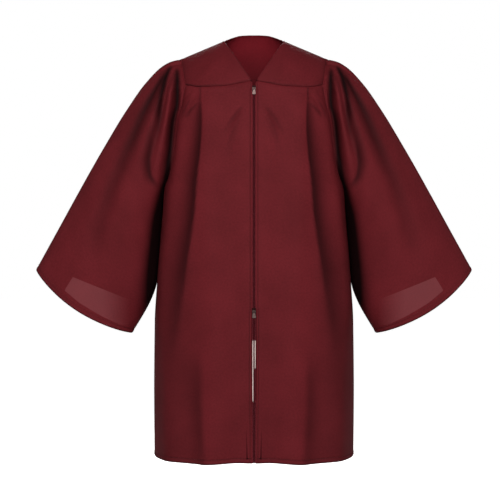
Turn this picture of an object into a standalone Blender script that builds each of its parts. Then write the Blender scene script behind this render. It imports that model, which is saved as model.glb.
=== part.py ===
"""A child's graduation gown, zipped down the front, in the shape that it has when worn.

The gown is hollow: a thin wall of cloth for each piece that a maker cuts. The front faces -Y, and the
wearer's right side is at -X. The origin is midway between the neck ends of the two shoulder seams,
where the shoulders hold the gown up. Every size and table below is in millimetres, and MM turns them
to Blender's metres.
"""

import math

import bpy
import numpy as np

MM = 0.001

# The cloth, its turned hems and the gaps between sewn pieces
CLOTH_WALL = 1.3
HEM_WALL = 2.3
HEM_HEIGHT = 9
HEM_STEP = 2
SEAM_GAP = 0.5
SHOULDER_SEAM_GAP = 1.2
ARMHOLE_GAP = 0.9
ARMHOLE_MARGIN = math.radians(0.1)

# Neck, shoulders and yoke. Heights are measured from the neck end of the shoulder seam.
NECK_HALF_WIDTH = 56
NECK_BACK_RISE = 19
NECK_BACK_DEPTH = 50
NECK_BACK_ROUND = 3
NECK_BACK_CURVE = 2.2
NECK_V_SLACK = 0.975
SHOULDER_HALF_WIDTH = 138
SHOULDER_DROP = 34.5
SHOULDER_SEAM_FORWARD = 6
YOKE_CORNER_OUT = 126
YOKE_BACK_CORNER_OUT = 129
YOKE_POINT_OUT = 5.5
YOKE_POINT_LEVEL = -82
YOKE_TURN = math.radians(76)
BACK_YOKE_START = SHOULDER_SEAM_GAP - SHOULDER_SEAM_FORWARD
FRONT_YOKE_ROUND = 0.6
BACK_YOKE_ROUND = 0.8
NECK_LIFT_REACH = 24
ZIP_CORNER_LEVEL = -87

# Lengths
UNDERARM_LEVEL = -275
HEM_LEVEL = -763
HEM_DIP = 3
HEM_DIP_OUT = 98
HEM_DIP_WIDTH = 34

# The zip: half the gap between the two front edges, the tape behind them, and how far the open end parts
ZIP_LIP = 2.9
ZIP_TOP = -96
ZIP_BOTTOM = -750
COIL_INNER = 0.3
COIL_OUTER = 2.4
COIL_SINK = 0.3
TAPE_WIDTH = 13
TAPE_SINK = 1.9
TAPE_THICKNESS = 0.9
UPPER_SLIDER_LEVEL = -97
LOWER_SLIDER_LEVEL = -493.5
ZIP_PARTING_COLUMNS = ("level", "parting")
ZIP_PARTING = (
    (-60, 0),
    (-488, 0),
    (-497, 0.9),
    (-530, 1.2),
    (-600, 1.3),
    (-660, 0.8),
    (-700, 0.2),
    (-763, 0.1),
)

PARTING_LEVELS = (-488, -494, -497, -505)
LEAN_SPAN = 12

# Level cross-sections of the body. Squareness 2 is an ellipse, and 3 has fuller corners.
BODY_COLUMNS = ("level", "half_width", "front_depth", "back_depth", "squareness")
BODY = (
    (-60, 130, 80, 74, 3.4),
    (-86, 134, 90, 84, 3.4),
    (-117, 138, 100, 91, 3.4),
    (-153, 147, 107, 97, 3.3),
    (-190, 151.5, 111, 100, 3.2),
    (-225, 155.5, 114, 103, 3.1),
    (-255, 161, 116.5, 105, 3.0),
    (-275, 166, 118, 106, 2.9),
    (-330, 170, 121, 108, 2.8),
    (-388, 175, 124, 110, 2.8),
    (-455, 180, 127, 113, 2.8),
    (-520, 184, 129, 116, 2.8),
    (-640, 185, 132, 122, 2.9),
    (-763, 184, 135, 128, 3.0),
)

# The front yoke seam, out from the centre
YOKE_SEAM_COLUMNS = ("out", "level")
YOKE_SEAM = ((0, -81.5), (7, -82.5), (25, -86), (52, -91), (97, -92.5), (126, -86.5))
BACK_SEAM_COLUMNS = ("out", "level")
BACK_SEAM = ((0, -96), (60, -95), (100, -92), (129, -88))

# The armhole below the yoke: its turn is the angle round the body from the centre front, in degrees
ARMHOLE_COLUMNS = ("level", "front_turn", "back_turn")
ARMHOLE = (
    (-86.5, 56.9, 54.0),
    (-117, 59.0, 57.0),
    (-153, 60.0, 59.0),
    (-190, 60.5, 60.0),
    (-225, 62.5, 62.5),
    (-252, 67.5, 67.5),
    (-268, 76.5, 76.5),
    (-275, 90.0, 90.0),
)

# How far round the outer columns would reach if the armhole did not turn, in degrees
STEADY_COLUMNS = ("level", "turn")
STEADY = ((-86, 56), (-153, 59), (-225, 63), (-275, 68), (-350, 79), (-430, 88), (-480, 90))
ARMHOLE_PULL = 6

# The folds fade out over this turn before the side
FOLD_FADE_TURN = math.radians(9)

# Folds of the body on one side, mirrored on the other. Across is measured from the centre line. A ridge
# has a positive height and a valley a negative one. Inner and outer are its widths towards the centre
# line and towards the side.
FOLD_COLUMNS = ("level", "across", "height", "inner", "outer")
FRONT_FOLDS = {
    "ridge beside the pleat": (
        (-93, 84, 0, 12, 8),
        (-125, 86, 2.5, 16, 8),
        (-172, 86, 4.0, 20, 9),
        (-250, 83, 4.5, 22, 12),
        (-387, 76, 4.5, 24, 18),
        (-545, 68, 5.5, 22, 20),
        (-704, 66, 7.0, 20, 20),
        (-763, 66, 8.0, 20, 20),
    ),
    "pleat from the yoke": (
        (-93, 96, 0, 3, 4),
        (-101, 97, -2.6, 3, 5),
        (-120, 99, -5.5, 4, 9),
        (-172, 104, -8.0, 7, 15),
        (-250, 114, -8.5, 10, 18),
        (-320, 124, -8.0, 13, 18),
        (-388, 132, -7.0, 16, 18),
        (-470, 140, -5.0, 20, 18),
        (-560, 146, -2.5, 24, 18),
        (-640, 148, 0, 24, 18),
        (-763, 148, 0, 24, 18),
    ),
    "side flute": (
        (-93, 122, 0, 12, 12),
        (-150, 130, 1.5, 12, 12),
        (-230, 142, 2.5, 14, 14),
        (-330, 155, 3.0, 14, 18),
        (-470, 165, 3.0, 16, 20),
        (-620, 150, 5.0, 20, 22),
        (-763, 142, 8.0, 22, 24),
    ),
    "lower valley": (
        (-93, 112, 0, 20, 20),
        (-500, 112, 0, 20, 20),
        (-580, 110, -3.0, 20, 20),
        (-650, 107, -6.0, 19, 18),
        (-763, 102, -8.0, 18, 18),
    ),
    "valley beside the zip": (
        (-93, 30, 0, 14, 16),
        (-300, 40, 0, 14, 16),
        (-380, 42, -1.5, 16, 16),
        (-545, 30, -3.0, 14, 16),
        (-650, 28, -3.5, 13, 16),
        (-763, 30, -4.0, 14, 16),
    ),
}
BACK_FOLDS = {
    "first back pleat": (
        (-97, 30, 0, 4, 4),
        (-112, 30, -4.0, 5, 6),
        (-180, 31, -6.5, 9, 10),
        (-320, 34, -7.0, 13, 14),
        (-520, 37, -6.0, 16, 17),
        (-763, 40, -7.0, 18, 18),
    ),
    "ridge between the pleats": (
        (-97, 48, 0, 8, 8),
        (-140, 49, 2.0, 9, 9),
        (-300, 55, 3.5, 14, 14),
        (-520, 62, 4.0, 18, 18),
        (-763, 68, 7.0, 20, 20),
    ),
    "second back pleat": (
        (-97, 66, 0, 4, 4),
        (-110, 66, -3.6, 5, 6),
        (-180, 69, -6.0, 9, 10),
        (-320, 80, -6.5, 13, 14),
        (-520, 92, -5.0, 17, 18),
        (-763, 100, -8.0, 19, 19),
    ),
    "third back pleat": (
        (-95, 99, 0, 4, 4),
        (-108, 99, -3.4, 5, 6),
        (-180, 107, -5.5, 9, 10),
        (-300, 122, -6.0, 13, 14),
        (-430, 136, -4.0, 17, 17),
        (-560, 146, 0, 18, 18),
        (-763, 146, 0, 18, 18),
    ),
    "back side flute": (
        (-97, 125, 0, 12, 12),
        (-330, 155, 2.0, 14, 18),
        (-560, 158, 3.5, 18, 20),
        (-763, 144, 8.0, 22, 24),
    ),
}

# The sleeve as it hangs: its outer and under edges seen from the front, and half its depth, at shares of
# the way from the armhole to the cuff. Swell is how far the middle of a section lies past its ends.
SLEEVE_COLUMNS = ("along", "edge_x", "edge_z", "under_x", "under_z", "half_depth", "swell")
SLEEVE = (
    (0.00, -138.0, -34.5, -167.0, -276, 60, 0),
    (0.05, -154.0, -38.5, -169.0, -284, 66, 0),
    (0.10, -170.0, -47.0, -170.2, -293, 71, 0),
    (0.20, -199.0, -75.0, -171.8, -314, 74, 2),
    (0.35, -238.5, -131.0, -174.2, -346, 72, 5),
    (0.50, -279.0, -198.0, -177.0, -378, 68, 8),
    (0.70, -329.0, -286.0, -182.0, -432, 62, 12),
    (0.85, -367.0, -355.0, -196.0, -482, 57, 15),
    (1.00, -405.0, -424.0, -226.0, -542, 52, 17),
)
SLEEVE_SEAM_REACH = 0.3
SLEEVE_LENGTH = 400
SLEEVE_FOLD_START = 0.02
SLEEVE_FOLD_SPREAD = 1.4

# Folds of the sleeve, each a path seen from the front: how far out and how far down it runs. Outer and
# inner are its widths towards the outer edge and towards the body.
SLEEVE_FOLD_COLUMNS = ("out", "level", "height", "outer", "inner")
SLEEVE_FRONT_FOLDS = {
    "groove beside the armhole": (
        (138, -66, 0, 6, 6),
        (140, -84, -6.0, 6, 7),
        (141, -115, -10.0, 7, 8),
        (147, -158, -10.0, 8, 8),
        (154, -205, -8.0, 8, 8),
        (163, -250, -4.0, 8, 8),
        (170, -285, 0, 8, 8),
    ),
    "ridge beside the groove": (
        (142, -60, 0, 5, 5),
        (149, -90, 5.0, 6, 6),
        (155, -120, 5.0, 7, 7),
        (161, -160, 4.5, 8, 8),
        (168, -205, 3.5, 10, 9),
        (176, -250, 2.0, 12, 10),
        (184, -300, 0, 12, 10),
    ),
    "short pleat": (
        (141, -52, 0, 4, 4),
        (154, -71, -6.0, 5, 5),
        (163, -115, -8.5, 6, 6),
        (170, -158, -7.0, 7, 7),
        (178, -191, -5.0, 8, 7),
        (187, -224, -4.0, 9, 7),
        (189, -252, -3.0, 9, 7),
        (184, -276, 0, 9, 7),
    ),
    "ridge between the pleats": (
        (148, -50, 0, 5, 5),
        (163, -75, 3.0, 6, 6),
        (176, -118, 4.0, 8, 8),
        (191, -165, 4.0, 11, 10),
        (206, -215, 3.0, 14, 12),
        (220, -270, 0, 16, 14),
    ),
    "long pleat": (
        (144, -46, 0, 4, 4),
        (166, -69, -6.5, 6, 6),
        (187, -115, -9.5, 9, 8),
        (206, -158, -9.0, 11, 10),
        (229, -213, -8.0, 13, 12),
        (249, -256, -7.0, 15, 13),
        (263, -300, -6.0, 16, 14),
        (281, -344, -4.5, 18, 16),
        (291, -388, -2.5, 20, 18),
        (299, -430, 0, 20, 18),
    ),
}
SLEEVE_BACK_FOLDS = {
    "groove beside the armhole": (
        (138, -66, 0, 6, 6),
        (141, -90, -5.0, 6, 7),
        (144, -125, -8.0, 8, 8),
        (150, -175, -8.0, 8, 8),
        (160, -235, -5.0, 8, 8),
        (170, -285, 0, 8, 8),
    ),
    "short pleat": (
        (141, -52, 0, 4, 4),
        (156, -76, -5.5, 5, 5),
        (167, -122, -8.0, 7, 7),
        (176, -170, -6.0, 8, 8),
        (189, -225, -3.5, 9, 8),
        (198, -275, 0, 9, 8),
    ),
    "long pleat": (
        (145, -46, 0, 4, 4),
        (170, -72, -6.0, 6, 6),
        (194, -122, -9.0, 9, 9),
        (218, -178, -8.5, 12, 11),
        (243, -236, -7.5, 14, 13),
        (268, -300, -6.0, 17, 15),
        (290, -362, -4.0, 19, 17),
        (304, -420, 0, 20, 18),
    ),
}

# How finely each piece is divided. Curves are read from this many short steps.
CURVE_STEPS = 400
NECK_STEPS = 80
FRONT_COLUMNS = 17
BACK_COLUMNS = 33
YOKE_ROWS = 6
PANEL_LEVELS = (
    -101, -112, -126, -143, -162, -183, -205, -226, -243, -256, -266, -272, -275,
    -292, -318, -350, -388, -430, -476, -525, -576, -628, -680, -722,
)
SLEEVE_ROUND = 36
SLEEVE_RINGS = (0, 0.02, 0.05, 0.09, 0.14, 0.20, 0.27, 0.35, 0.44, 0.54, 0.64, 0.74, 0.84, 0.92)

# Slider and pull tab. Forward is measured from the face of the cloth.
SLIDER_WIDTH = 7.0
SLIDER_LENGTH = 9.0
SLIDER_CLEARANCE = 0.5
PLATE_THICKNESS = 1.1
BACK_PLATE_FORWARD = -4.3
POST_WIDTH = 1.0
POST_LENGTH = 1.4
BRIDGE_WIDTH = 1.4
BRIDGE_LENGTH = 5.6
BRIDGE_WALL = 0.9
TUNNEL_HEIGHT = 2.0
PULL_BAR = 1.0
PULL_HOLE_WIDTH = 2.3
PULL_HOLE_LENGTH = 3.9
PULL_TOP_WIDTH = 4.8
PULL_END_WIDTH = 6.4
PULL_LENGTH = 13.0
PULL_WAIST = 0.86
PULL_WAIST_DROP = 1.2
PULL_SHOULDER = 0.6
PULL_CORNER = 0.9
PULL_FLARE = 2.2
BACK_PLATE_INSET = 0.5
JOIN_OVERLAP = 0.3

MAROON = "5d2224"
MAROON_DARK = "3c1416"
ZINC = "9a8480"


def clear_scene():
    for item in list(bpy.data.objects):
        bpy.data.objects.remove(item, do_unlink=True)


def material(name, colour, roughness, metallic):
    """A Principled material from an sRGB hex colour."""
    found = bpy.data.materials.new(name)
    found.use_nodes = True
    shader = found.node_tree.nodes["Principled BSDF"]
    channels = [int(colour[i : i + 2], 16) / 255 for i in (0, 2, 4)]
    linear = [((c + 0.055) / 1.055) ** 2.4 if c > 0.04045 else c / 12.92 for c in channels]
    shader.inputs["Base Color"].default_value = (*linear, 1)
    shader.inputs["Roughness"].default_value = roughness
    shader.inputs["Metallic"].default_value = metallic
    return found


def smooth(knots, values):
    """A smooth function through the values at the knots, which never goes past two neighbouring ones."""
    knots = np.array(knots, float)
    values = np.array(values, float)
    spans = np.diff(knots)
    secants = np.diff(values) / spans
    slopes = np.concatenate([secants[:1], np.zeros(len(knots) - 2), secants[-1:]])
    same_way = secants[:-1] * secants[1:] > 0
    near, far = spans[:-1] + 2 * spans[1:], 2 * spans[:-1] + spans[1:]
    safe = np.where(same_way, secants[:-1] * secants[1:], 1.0)
    mean = (near + far) * safe / np.where(same_way, near * secants[1:] + far * secants[:-1], 1.0)
    slopes[1:-1] = np.where(same_way, mean, 0.0)

    def read(at):
        at = np.clip(np.asarray(at, float), knots[0], knots[-1])
        left = np.clip(np.searchsorted(knots, at) - 1, 0, len(knots) - 2)
        t = (at - knots[left]) / spans[left]
        start, end = values[left], values[left + 1]
        leave, arrive = slopes[left] * spans[left], slopes[left + 1] * spans[left]
        return (
            (2 * t**3 - 3 * t**2 + 1) * start
            + (t**3 - 2 * t**2 + t) * leave
            + (3 * t**2 - 2 * t**3) * end
            + (t**3 - t**2) * arrive
        )

    return read


def columns_of(names, rows):
    """One smooth function for each column after the first, which is the key."""
    table = sorted(rows)
    keys = [row[0] for row in table]
    return {name: smooth(keys, [row[i] for row in table]) for i, name in enumerate(names) if i}


body = columns_of(BODY_COLUMNS, BODY)
sleeve = columns_of(SLEEVE_COLUMNS, SLEEVE)
yoke_seam = columns_of(YOKE_SEAM_COLUMNS, YOKE_SEAM)["level"]
back_seam = columns_of(BACK_SEAM_COLUMNS, BACK_SEAM)["level"]
steady_turn = columns_of(STEADY_COLUMNS, STEADY)["turn"]
zip_parting = columns_of(ZIP_PARTING_COLUMNS, ZIP_PARTING)["parting"]
front_folds = [columns_of(FOLD_COLUMNS, rows) for rows in FRONT_FOLDS.values()]
back_folds = [columns_of(FOLD_COLUMNS, rows) for rows in BACK_FOLDS.values()]


def fold(offset, before, after):
    """A soft bump, 1 at offset 0, with its own width on each side."""
    width = np.where(offset < 0, before, after)
    return np.exp(-((offset / width) ** 2))


def turn_at(out, level):
    """The angle round the body, from the centre line, of the point that is this far out."""
    square = body["squareness"](level)
    share = np.clip(np.abs(out) / body["half_width"](level), 0, 0.9999) ** square
    return np.arctan((share / (1 - share)) ** (1 / square))


def body_point(turn, level, face):
    """A point of the body's form on the wearer's right. Turn 0 is the centre line and pi/2 the side."""
    square = body["squareness"](level)
    reach = (np.sin(turn) ** square + np.cos(turn) ** square) ** (-1 / square)
    depth = body["front_depth"](level) if face == "front" else body["back_depth"](level)
    out = body["half_width"](level) * reach * np.sin(turn)
    forward = depth * reach * np.cos(turn)
    return np.stack([-out, -forward if face == "front" else forward, level], axis=-1)


def fold_height(turn, level, face):
    """How far the folds stand out of the body's form."""
    spread = body["half_width"](level) * 0.5 + body["front_depth"](level) * 0.5
    height = np.zeros(np.broadcast(turn, level).shape)
    for found in front_folds if face == "front" else back_folds:
        offset = (turn - turn_at(found["across"](level), level)) * spread
        height = height + found["height"](level) * fold(offset, found["inner"](level), found["outer"](level))
    to_side = np.clip((math.pi / 2 - turn) / FOLD_FADE_TURN, 0, 1)
    return height * to_side * to_side * (3 - 2 * to_side)


def panel_point(turn, level, face):
    """A point of the front or back panel, folds included."""
    point = body_point(turn, level, face)
    height = fold_height(turn, level, face)
    forward = -np.cos(turn) if face == "front" else np.cos(turn)
    point[..., 0] -= height * np.sin(turn)
    point[..., 1] += height * forward
    return point


def armhole_turn(level, face):
    """The angle round the body at which the armhole cuts a level, a quarter turn below the underarm."""
    steps = np.linspace(0, len(ARMHOLE) - 1, CURVE_STEPS)
    rows = np.arange(len(ARMHOLE))
    table = dict(zip(ARMHOLE_COLUMNS, zip(*ARMHOLE)))
    levels = smooth(rows, table["level"])(steps)
    turns = np.radians(smooth(rows, table[face + "_turn"])(steps))
    return np.interp(-np.asarray(level, float), -levels, turns)


def yoke_profile(share, roundness):
    """Shares of the depth and of the drop, over the shoulder and down to the yoke seam."""
    depth = np.sin(share * YOKE_TURN) / math.sin(YOKE_TURN)
    drop = (1 - np.cos(share * YOKE_TURN)) / (1 - math.cos(YOKE_TURN))
    return share + (depth - share) * roundness, share + (drop - share) * roundness


def shoulder_level(out):
    return -(out - NECK_HALF_WIDTH) * SHOULDER_DROP / (SHOULDER_HALF_WIDTH - NECK_HALF_WIDTH)


def neck_cut(out):
    """The share down the front yoke at which the V of the neck cuts it."""
    if out >= NECK_HALF_WIDTH:
        return 0.0
    slope = -YOKE_POINT_LEVEL / (NECK_HALF_WIDTH - YOKE_POINT_OUT)
    level = -(NECK_HALF_WIDTH - out) * slope * NECK_V_SLACK
    shares = np.linspace(0, 1, CURVE_STEPS)
    drops = yoke_profile(shares, FRONT_YOKE_ROUND)[1]
    drop = (shoulder_level(out) - level) / (shoulder_level(out) - yoke_seam(out))
    return float(np.interp(drop, drops, shares))


def front_yoke_point(out_top, out_seam, share):
    """A point of the front yoke on the wearer's right, in the column between two distances out."""
    cut = neck_cut(out_top)
    way = cut + (1 - cut) * share
    out = out_top + (out_seam - out_top) * share
    seam_depth = -body_point(turn_at(out, yoke_seam(out)), yoke_seam(out), "front")[..., 1]
    depth, drop = yoke_profile(way, FRONT_YOKE_ROUND)
    forward = SHOULDER_SEAM_FORWARD + (seam_depth - SHOULDER_SEAM_FORWARD) * depth
    top = shoulder_level(out)
    return np.array([-out, -forward, top - (top - yoke_seam(out)) * drop])


def back_yoke_level(out, way):
    """The height of the back yoke's form, at this share of the way from the shoulder line to its seam."""
    top = shoulder_level(out)
    if out < NECK_HALF_WIDTH:
        top = -shoulder_level(0) * (out**2 / NECK_HALF_WIDTH**2 - 1) / 2
    ways, drops = yoke_profile(np.linspace(0, 1, CURVE_STEPS), BACK_YOKE_ROUND)
    return top - (top - back_seam(out)) * np.interp(way, ways, drops)


def back_yoke_way(out, depth):
    """The share of the way from the shoulder line to the back yoke's seam at a plan point."""
    seam_depth = body_point(turn_at(out, back_seam(out)), back_seam(out), "back")[..., 1]
    return (depth - BACK_YOKE_START) / (seam_depth - BACK_YOKE_START)


def back_neckline(inward):
    """The depth and height of the neckline's edge at a share of its half width."""
    depth = BACK_YOKE_START + (NECK_BACK_DEPTH - BACK_YOKE_START) * math.sqrt(1 - inward**NECK_BACK_CURVE)
    return depth, NECK_BACK_RISE * (1 - inward**NECK_BACK_ROUND)


def neck_lift_table():
    """Plan points of the back neckline, and how far each stands above the yoke's form."""
    rows = []
    for inward in np.sin(np.linspace(0, math.pi / 2, NECK_STEPS)):
        out = NECK_HALF_WIDTH * inward
        depth, level = back_neckline(inward)
        rows.append((out, depth, level - back_yoke_level(out, back_yoke_way(out, depth))))
    return np.array(rows)


def back_yoke_point(out_top, out_seam, share):
    """A point of the back yoke on the wearer's right. The cloth rises from the yoke's form to the neckline."""
    start = BACK_YOKE_START
    if out_top < NECK_HALF_WIDTH:
        start = back_neckline(out_top / NECK_HALF_WIDTH)[0]
    out = out_top + (out_seam - out_top) * share
    seam_depth = body_point(turn_at(out, back_seam(out)), back_seam(out), "back")[..., 1]
    depth = start + (seam_depth - start) * yoke_profile(share, BACK_YOKE_ROUND)[0]
    distances = np.hypot(neck_lift[:, 0] - out, neck_lift[:, 1] - depth)
    nearest = np.argmin(distances)
    lift = neck_lift[nearest, 2] * math.exp(-((distances[nearest] / NECK_LIFT_REACH) ** 2)) * (1 - share**4)
    return np.array([-out, depth, back_yoke_level(out, back_yoke_way(out, depth)) + lift])


def path_fold(rows, out, level):
    """The height at points seen from the front of a fold that follows a path."""
    steps = np.linspace(0, len(rows) - 1, 12 * len(rows))
    table = dict(zip(SLEEVE_FOLD_COLUMNS, zip(*rows)))
    path = {name: smooth(np.arange(len(rows)), column)(steps) for name, column in table.items()}
    out_step, level_step = np.gradient(path["out"]), np.gradient(path["level"])
    away = out[..., None] - path["out"], level[..., None] - path["level"]
    nearest = np.argmin(away[0] ** 2 + away[1] ** 2, axis=-1)
    away_out = np.take_along_axis(away[0], nearest[..., None], -1)[..., 0]
    away_level = np.take_along_axis(away[1], nearest[..., None], -1)[..., 0]
    length = np.hypot(out_step, level_step)[nearest]
    offset = (away_level * out_step[nearest] - away_out * level_step[nearest]) / length
    return path["height"][nearest] * fold(-offset, path["outer"][nearest], path["inner"][nearest])


def along_line(line, shares):
    """Points at these shares of a line's length."""
    lengths = np.concatenate([[0], np.cumsum(np.linalg.norm(np.diff(line, axis=0), axis=1))])
    return np.stack([np.interp(shares * lengths[-1], lengths, line[:, i]) for i in range(3)], axis=-1)


neck_lift = neck_lift_table()


def armhole_line(face):
    """The armhole from the shoulder seam down to the underarm, on the wearer's right."""
    shares = np.linspace(0, 1, 40)
    if face == "front":
        yoke = [front_yoke_point(SHOULDER_HALF_WIDTH, YOKE_CORNER_OUT, share) for share in shares]
    else:
        yoke = [back_yoke_point(SHOULDER_HALF_WIDTH, YOKE_BACK_CORNER_OUT, share) for share in shares]
    drop = np.linspace(0, 1, CURVE_STEPS)[1:]
    levels = yoke[-1][2] + (UNDERARM_LEVEL - yoke[-1][2]) * (1 - (1 - drop) ** 2)
    panel = panel_point(armhole_turn(levels, face), levels, face)
    return np.concatenate([np.array(yoke), panel])


def sleeve_section(along, share):
    """The sleeve's form as seen from the front: a point between its outer and under edges."""
    edge = np.stack([sleeve["edge_x"](along), sleeve["edge_z"](along)])
    under = np.stack([sleeve["under_x"](along), sleeve["under_z"](along)])
    across = under - edge
    outward = np.stack([across[1], -across[0]]) / np.linalg.norm(across, axis=0)
    return edge + across * share + outward * sleeve["swell"](along) * 4 * share * (1 - share)


def sleeve_point(along, share, face):
    """A point of the sleeve, folds included. Along runs from the armhole to the cuff."""
    x, z = sleeve_section(along, share)
    bulge = 2 * np.sqrt(np.clip(share * (1 - share), 0, None))
    depth = sleeve["half_depth"](along) * bulge
    form = np.stack([x, -depth if face == "front" else depth, z], axis=-1)
    start_x, start_z = sleeve_section(np.zeros_like(share), share)
    start_depth = sleeve["half_depth"](0.0) * bulge
    start = np.stack([start_x, -start_depth if face == "front" else start_depth, start_z], axis=-1)
    seam = along_line(armhole_line(face), share) - np.array([ARMHOLE_GAP, 0, 0])
    left = np.clip(1 - along / SLEEVE_SEAM_REACH, 0, 1)
    left = left * left * (3 - 2 * left)
    form = form + (seam - start) * left[..., None]
    folds = SLEEVE_FRONT_FOLDS if face == "front" else SLEEVE_BACK_FOLDS
    height = sum(path_fold(rows, -form[..., 0], form[..., 2]) for rows in folds.values())
    clear_of_seam = np.clip(along / SLEEVE_FOLD_START, 0, 1)
    height = height * np.clip(bulge * SLEEVE_FOLD_SPREAD, 0, 1) * clear_of_seam
    form[..., 1] += -height if face == "front" else height
    return form


def sheet(name, grid, finish, closed=False, hem_rows=0, even=True):
    """A wall of cloth whose outer face runs through a grid of points, its rows going down.

    An even wall keeps its thickness at bends. Uneven suits a sheet with one sharp corner.
    """
    rows, columns = grid.shape[:2]
    faces = []
    for row in range(rows - 1):
        for column in range(columns if closed else columns - 1):
            after = (column + 1) % columns
            a, b = row * columns + column, row * columns + after
            faces.append((a, b, b + columns, a + columns))
    mesh = bpy.data.meshes.new(name)
    mesh.from_pydata((grid.reshape(-1, 3) * MM).tolist(), [], faces)
    mesh.materials.append(finish)
    mesh.shade_smooth()
    item = bpy.data.objects.new(name, mesh)
    bpy.context.scene.collection.objects.link(item)
    wall = item.modifiers.new("Cloth wall", "SOLIDIFY")
    wall.offset = -1
    wall.thickness = CLOTH_WALL * MM
    wall.use_even_offset = even
    if hem_rows:
        hem = item.vertex_groups.new(name="Hem")
        first = (rows - hem_rows) * columns
        hem.add(list(range(first, rows * columns)), 1.0, "REPLACE")
        wall.thickness = HEM_WALL * MM
        wall.vertex_group = hem.name
        wall.thickness_vertex_group = CLOTH_WALL / HEM_WALL
    return item


def mirrored(grid):
    """The same piece on the wearer's left, its columns turned round so that it still faces out."""
    return grid[:, ::-1] * np.array([-1, 1, 1])


def hem_dip(out):
    return HEM_DIP * np.exp(-(((np.abs(out) - HEM_DIP_OUT) / HEM_DIP_WIDTH) ** 2))


def panel_levels(seam_level):
    """The levels of a panel's rows, from its yoke seam to its hem."""
    hem_top = HEM_LEVEL + HEM_HEIGHT
    return [seam_level - SEAM_GAP / 2, *PANEL_LEVELS, hem_top + HEM_STEP, hem_top, HEM_LEVEL]


def spread_turns(first, last, level, count):
    """Angles of a row's columns. Only the outer columns follow the armhole where it turns to the side."""
    share = np.linspace(0, 1, count)
    steady = math.radians(float(steady_turn(level)))
    return first + (steady - first) * share + (last - steady) * share**ARMHOLE_PULL


def front_panel_grid():
    grid = []
    for index, level in enumerate(panel_levels(0)):
        first = turn_at(ZIP_LIP + zip_parting(level), level)
        last = armhole_turn(level, "front") - ARMHOLE_MARGIN
        if index == 0:
            last = turn_at(YOKE_CORNER_OUT, yoke_seam(YOKE_CORNER_OUT))
        turns = spread_turns(first, last, level, FRONT_COLUMNS)
        levels = np.full(FRONT_COLUMNS, float(level))
        if index == 0:
            outs = np.linspace(ZIP_LIP, YOKE_CORNER_OUT, FRONT_COLUMNS)
            levels = yoke_seam(outs) - SEAM_GAP / 2
            levels[0] = ZIP_CORNER_LEVEL
            turns = turn_at(outs, levels)
        row = panel_point(turns, levels, "front")
        if index > len(PANEL_LEVELS):
            row[:, 2] -= hem_dip(row[:, 0])
        grid.append(row)
    return np.array(grid)


def back_panel_grid():
    grid = []
    half = BACK_COLUMNS // 2 + 1
    for index, level in enumerate(panel_levels(0)):
        last = armhole_turn(level, "back") - ARMHOLE_MARGIN
        turns = spread_turns(0, last, level, half)[::-1]
        levels = np.full(half, float(level))
        if index == 0:
            outs = np.linspace(YOKE_BACK_CORNER_OUT, 0, half)
            levels = back_seam(outs) - SEAM_GAP / 2
            turns = turn_at(outs, levels)
        row = panel_point(turns, levels, "back")
        grid.append(np.concatenate([row, row[-2::-1] * np.array([-1, 1, 1])]))
    return np.array(grid)


def front_yoke_grid():
    """Columns from the V of the neck out to the armhole."""
    inner = np.linspace(YOKE_POINT_OUT, NECK_HALF_WIDTH, 6)
    outer = np.linspace(NECK_HALF_WIDTH, SHOULDER_HALF_WIDTH, 6)[1:]
    tops = np.concatenate([inner, outer])
    span = (YOKE_CORNER_OUT - YOKE_POINT_OUT) / (SHOULDER_HALF_WIDTH - YOKE_POINT_OUT)
    shares = np.linspace(0, 1, YOKE_ROWS)
    grid = np.array(
        [[front_yoke_point(top, YOKE_POINT_OUT + (top - YOKE_POINT_OUT) * span, share) for top in tops]
         for share in shares]
    )
    grid[-1, :, 2] += SEAM_GAP / 2
    return grid


def back_yoke_grid():
    """Columns from one armhole over the back to the other."""
    outer = np.linspace(SHOULDER_HALF_WIDTH, NECK_HALF_WIDTH, 6)
    inner = NECK_HALF_WIDTH * np.cos(np.linspace(0, math.pi / 2, 9))[1:]
    tops = np.concatenate([outer, inner])
    span = YOKE_BACK_CORNER_OUT / SHOULDER_HALF_WIDTH
    shares = np.linspace(0, 1, YOKE_ROWS + 1)
    half = np.array([[back_yoke_point(top, top * span, share) for top in tops] for share in shares])
    half[-1, :, 2] += SEAM_GAP / 2
    return np.concatenate([half, half[:, -2::-1] * np.array([-1, 1, 1])], axis=1)


def sleeve_grid():
    """Rings from the armhole to the cuff. Each goes down the back and up the front."""
    half = SLEEVE_ROUND // 2
    way = np.linspace(0, 1, half + 1)
    shares = 0.5 * way + 0.25 * (1 - np.cos(math.pi * way))
    hem_top = 1 - HEM_HEIGHT / SLEEVE_LENGTH
    step = HEM_STEP / SLEEVE_LENGTH
    grid = []
    for along in (*SLEEVE_RINGS, hem_top - step, hem_top, 1.0):
        front = sleeve_point(np.full(half + 1, float(along)), shares, "front")
        back = sleeve_point(np.full(half + 1, float(along)), shares, "back")
        middle = (front[[0, -1]] + back[[0, -1]]) / 2
        grid.append(np.concatenate([middle[:1], back[1:-1], middle[1:], front[-2:0:-1]]))
    return np.array(grid)


def zip_tape_grid():
    """Sections of one tape and its coil, behind the wearer's right front edge."""
    section = (
        (COIL_INNER, COIL_SINK),
        (COIL_OUTER, COIL_SINK),
        (COIL_OUTER, TAPE_SINK),
        (TAPE_WIDTH, TAPE_SINK),
        (TAPE_WIDTH, TAPE_SINK + TAPE_THICKNESS),
        (COIL_INNER, TAPE_SINK + TAPE_THICKNESS),
    )
    levels = sorted({ZIP_TOP, *PANEL_LEVELS, *PARTING_LEVELS, ZIP_BOTTOM}, reverse=True)
    grid = []
    for level in levels:
        parting = float(zip_parting(level))
        ring = []
        for out, sink in section:
            place = max(out + parting, ZIP_LIP + parting)
            face = panel_point(turn_at(place, level), np.float64(level), "front")
            ring.append((-(out + parting), face[1] + sink, level))
        grid.append(ring)
    return np.array(grid)


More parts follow.
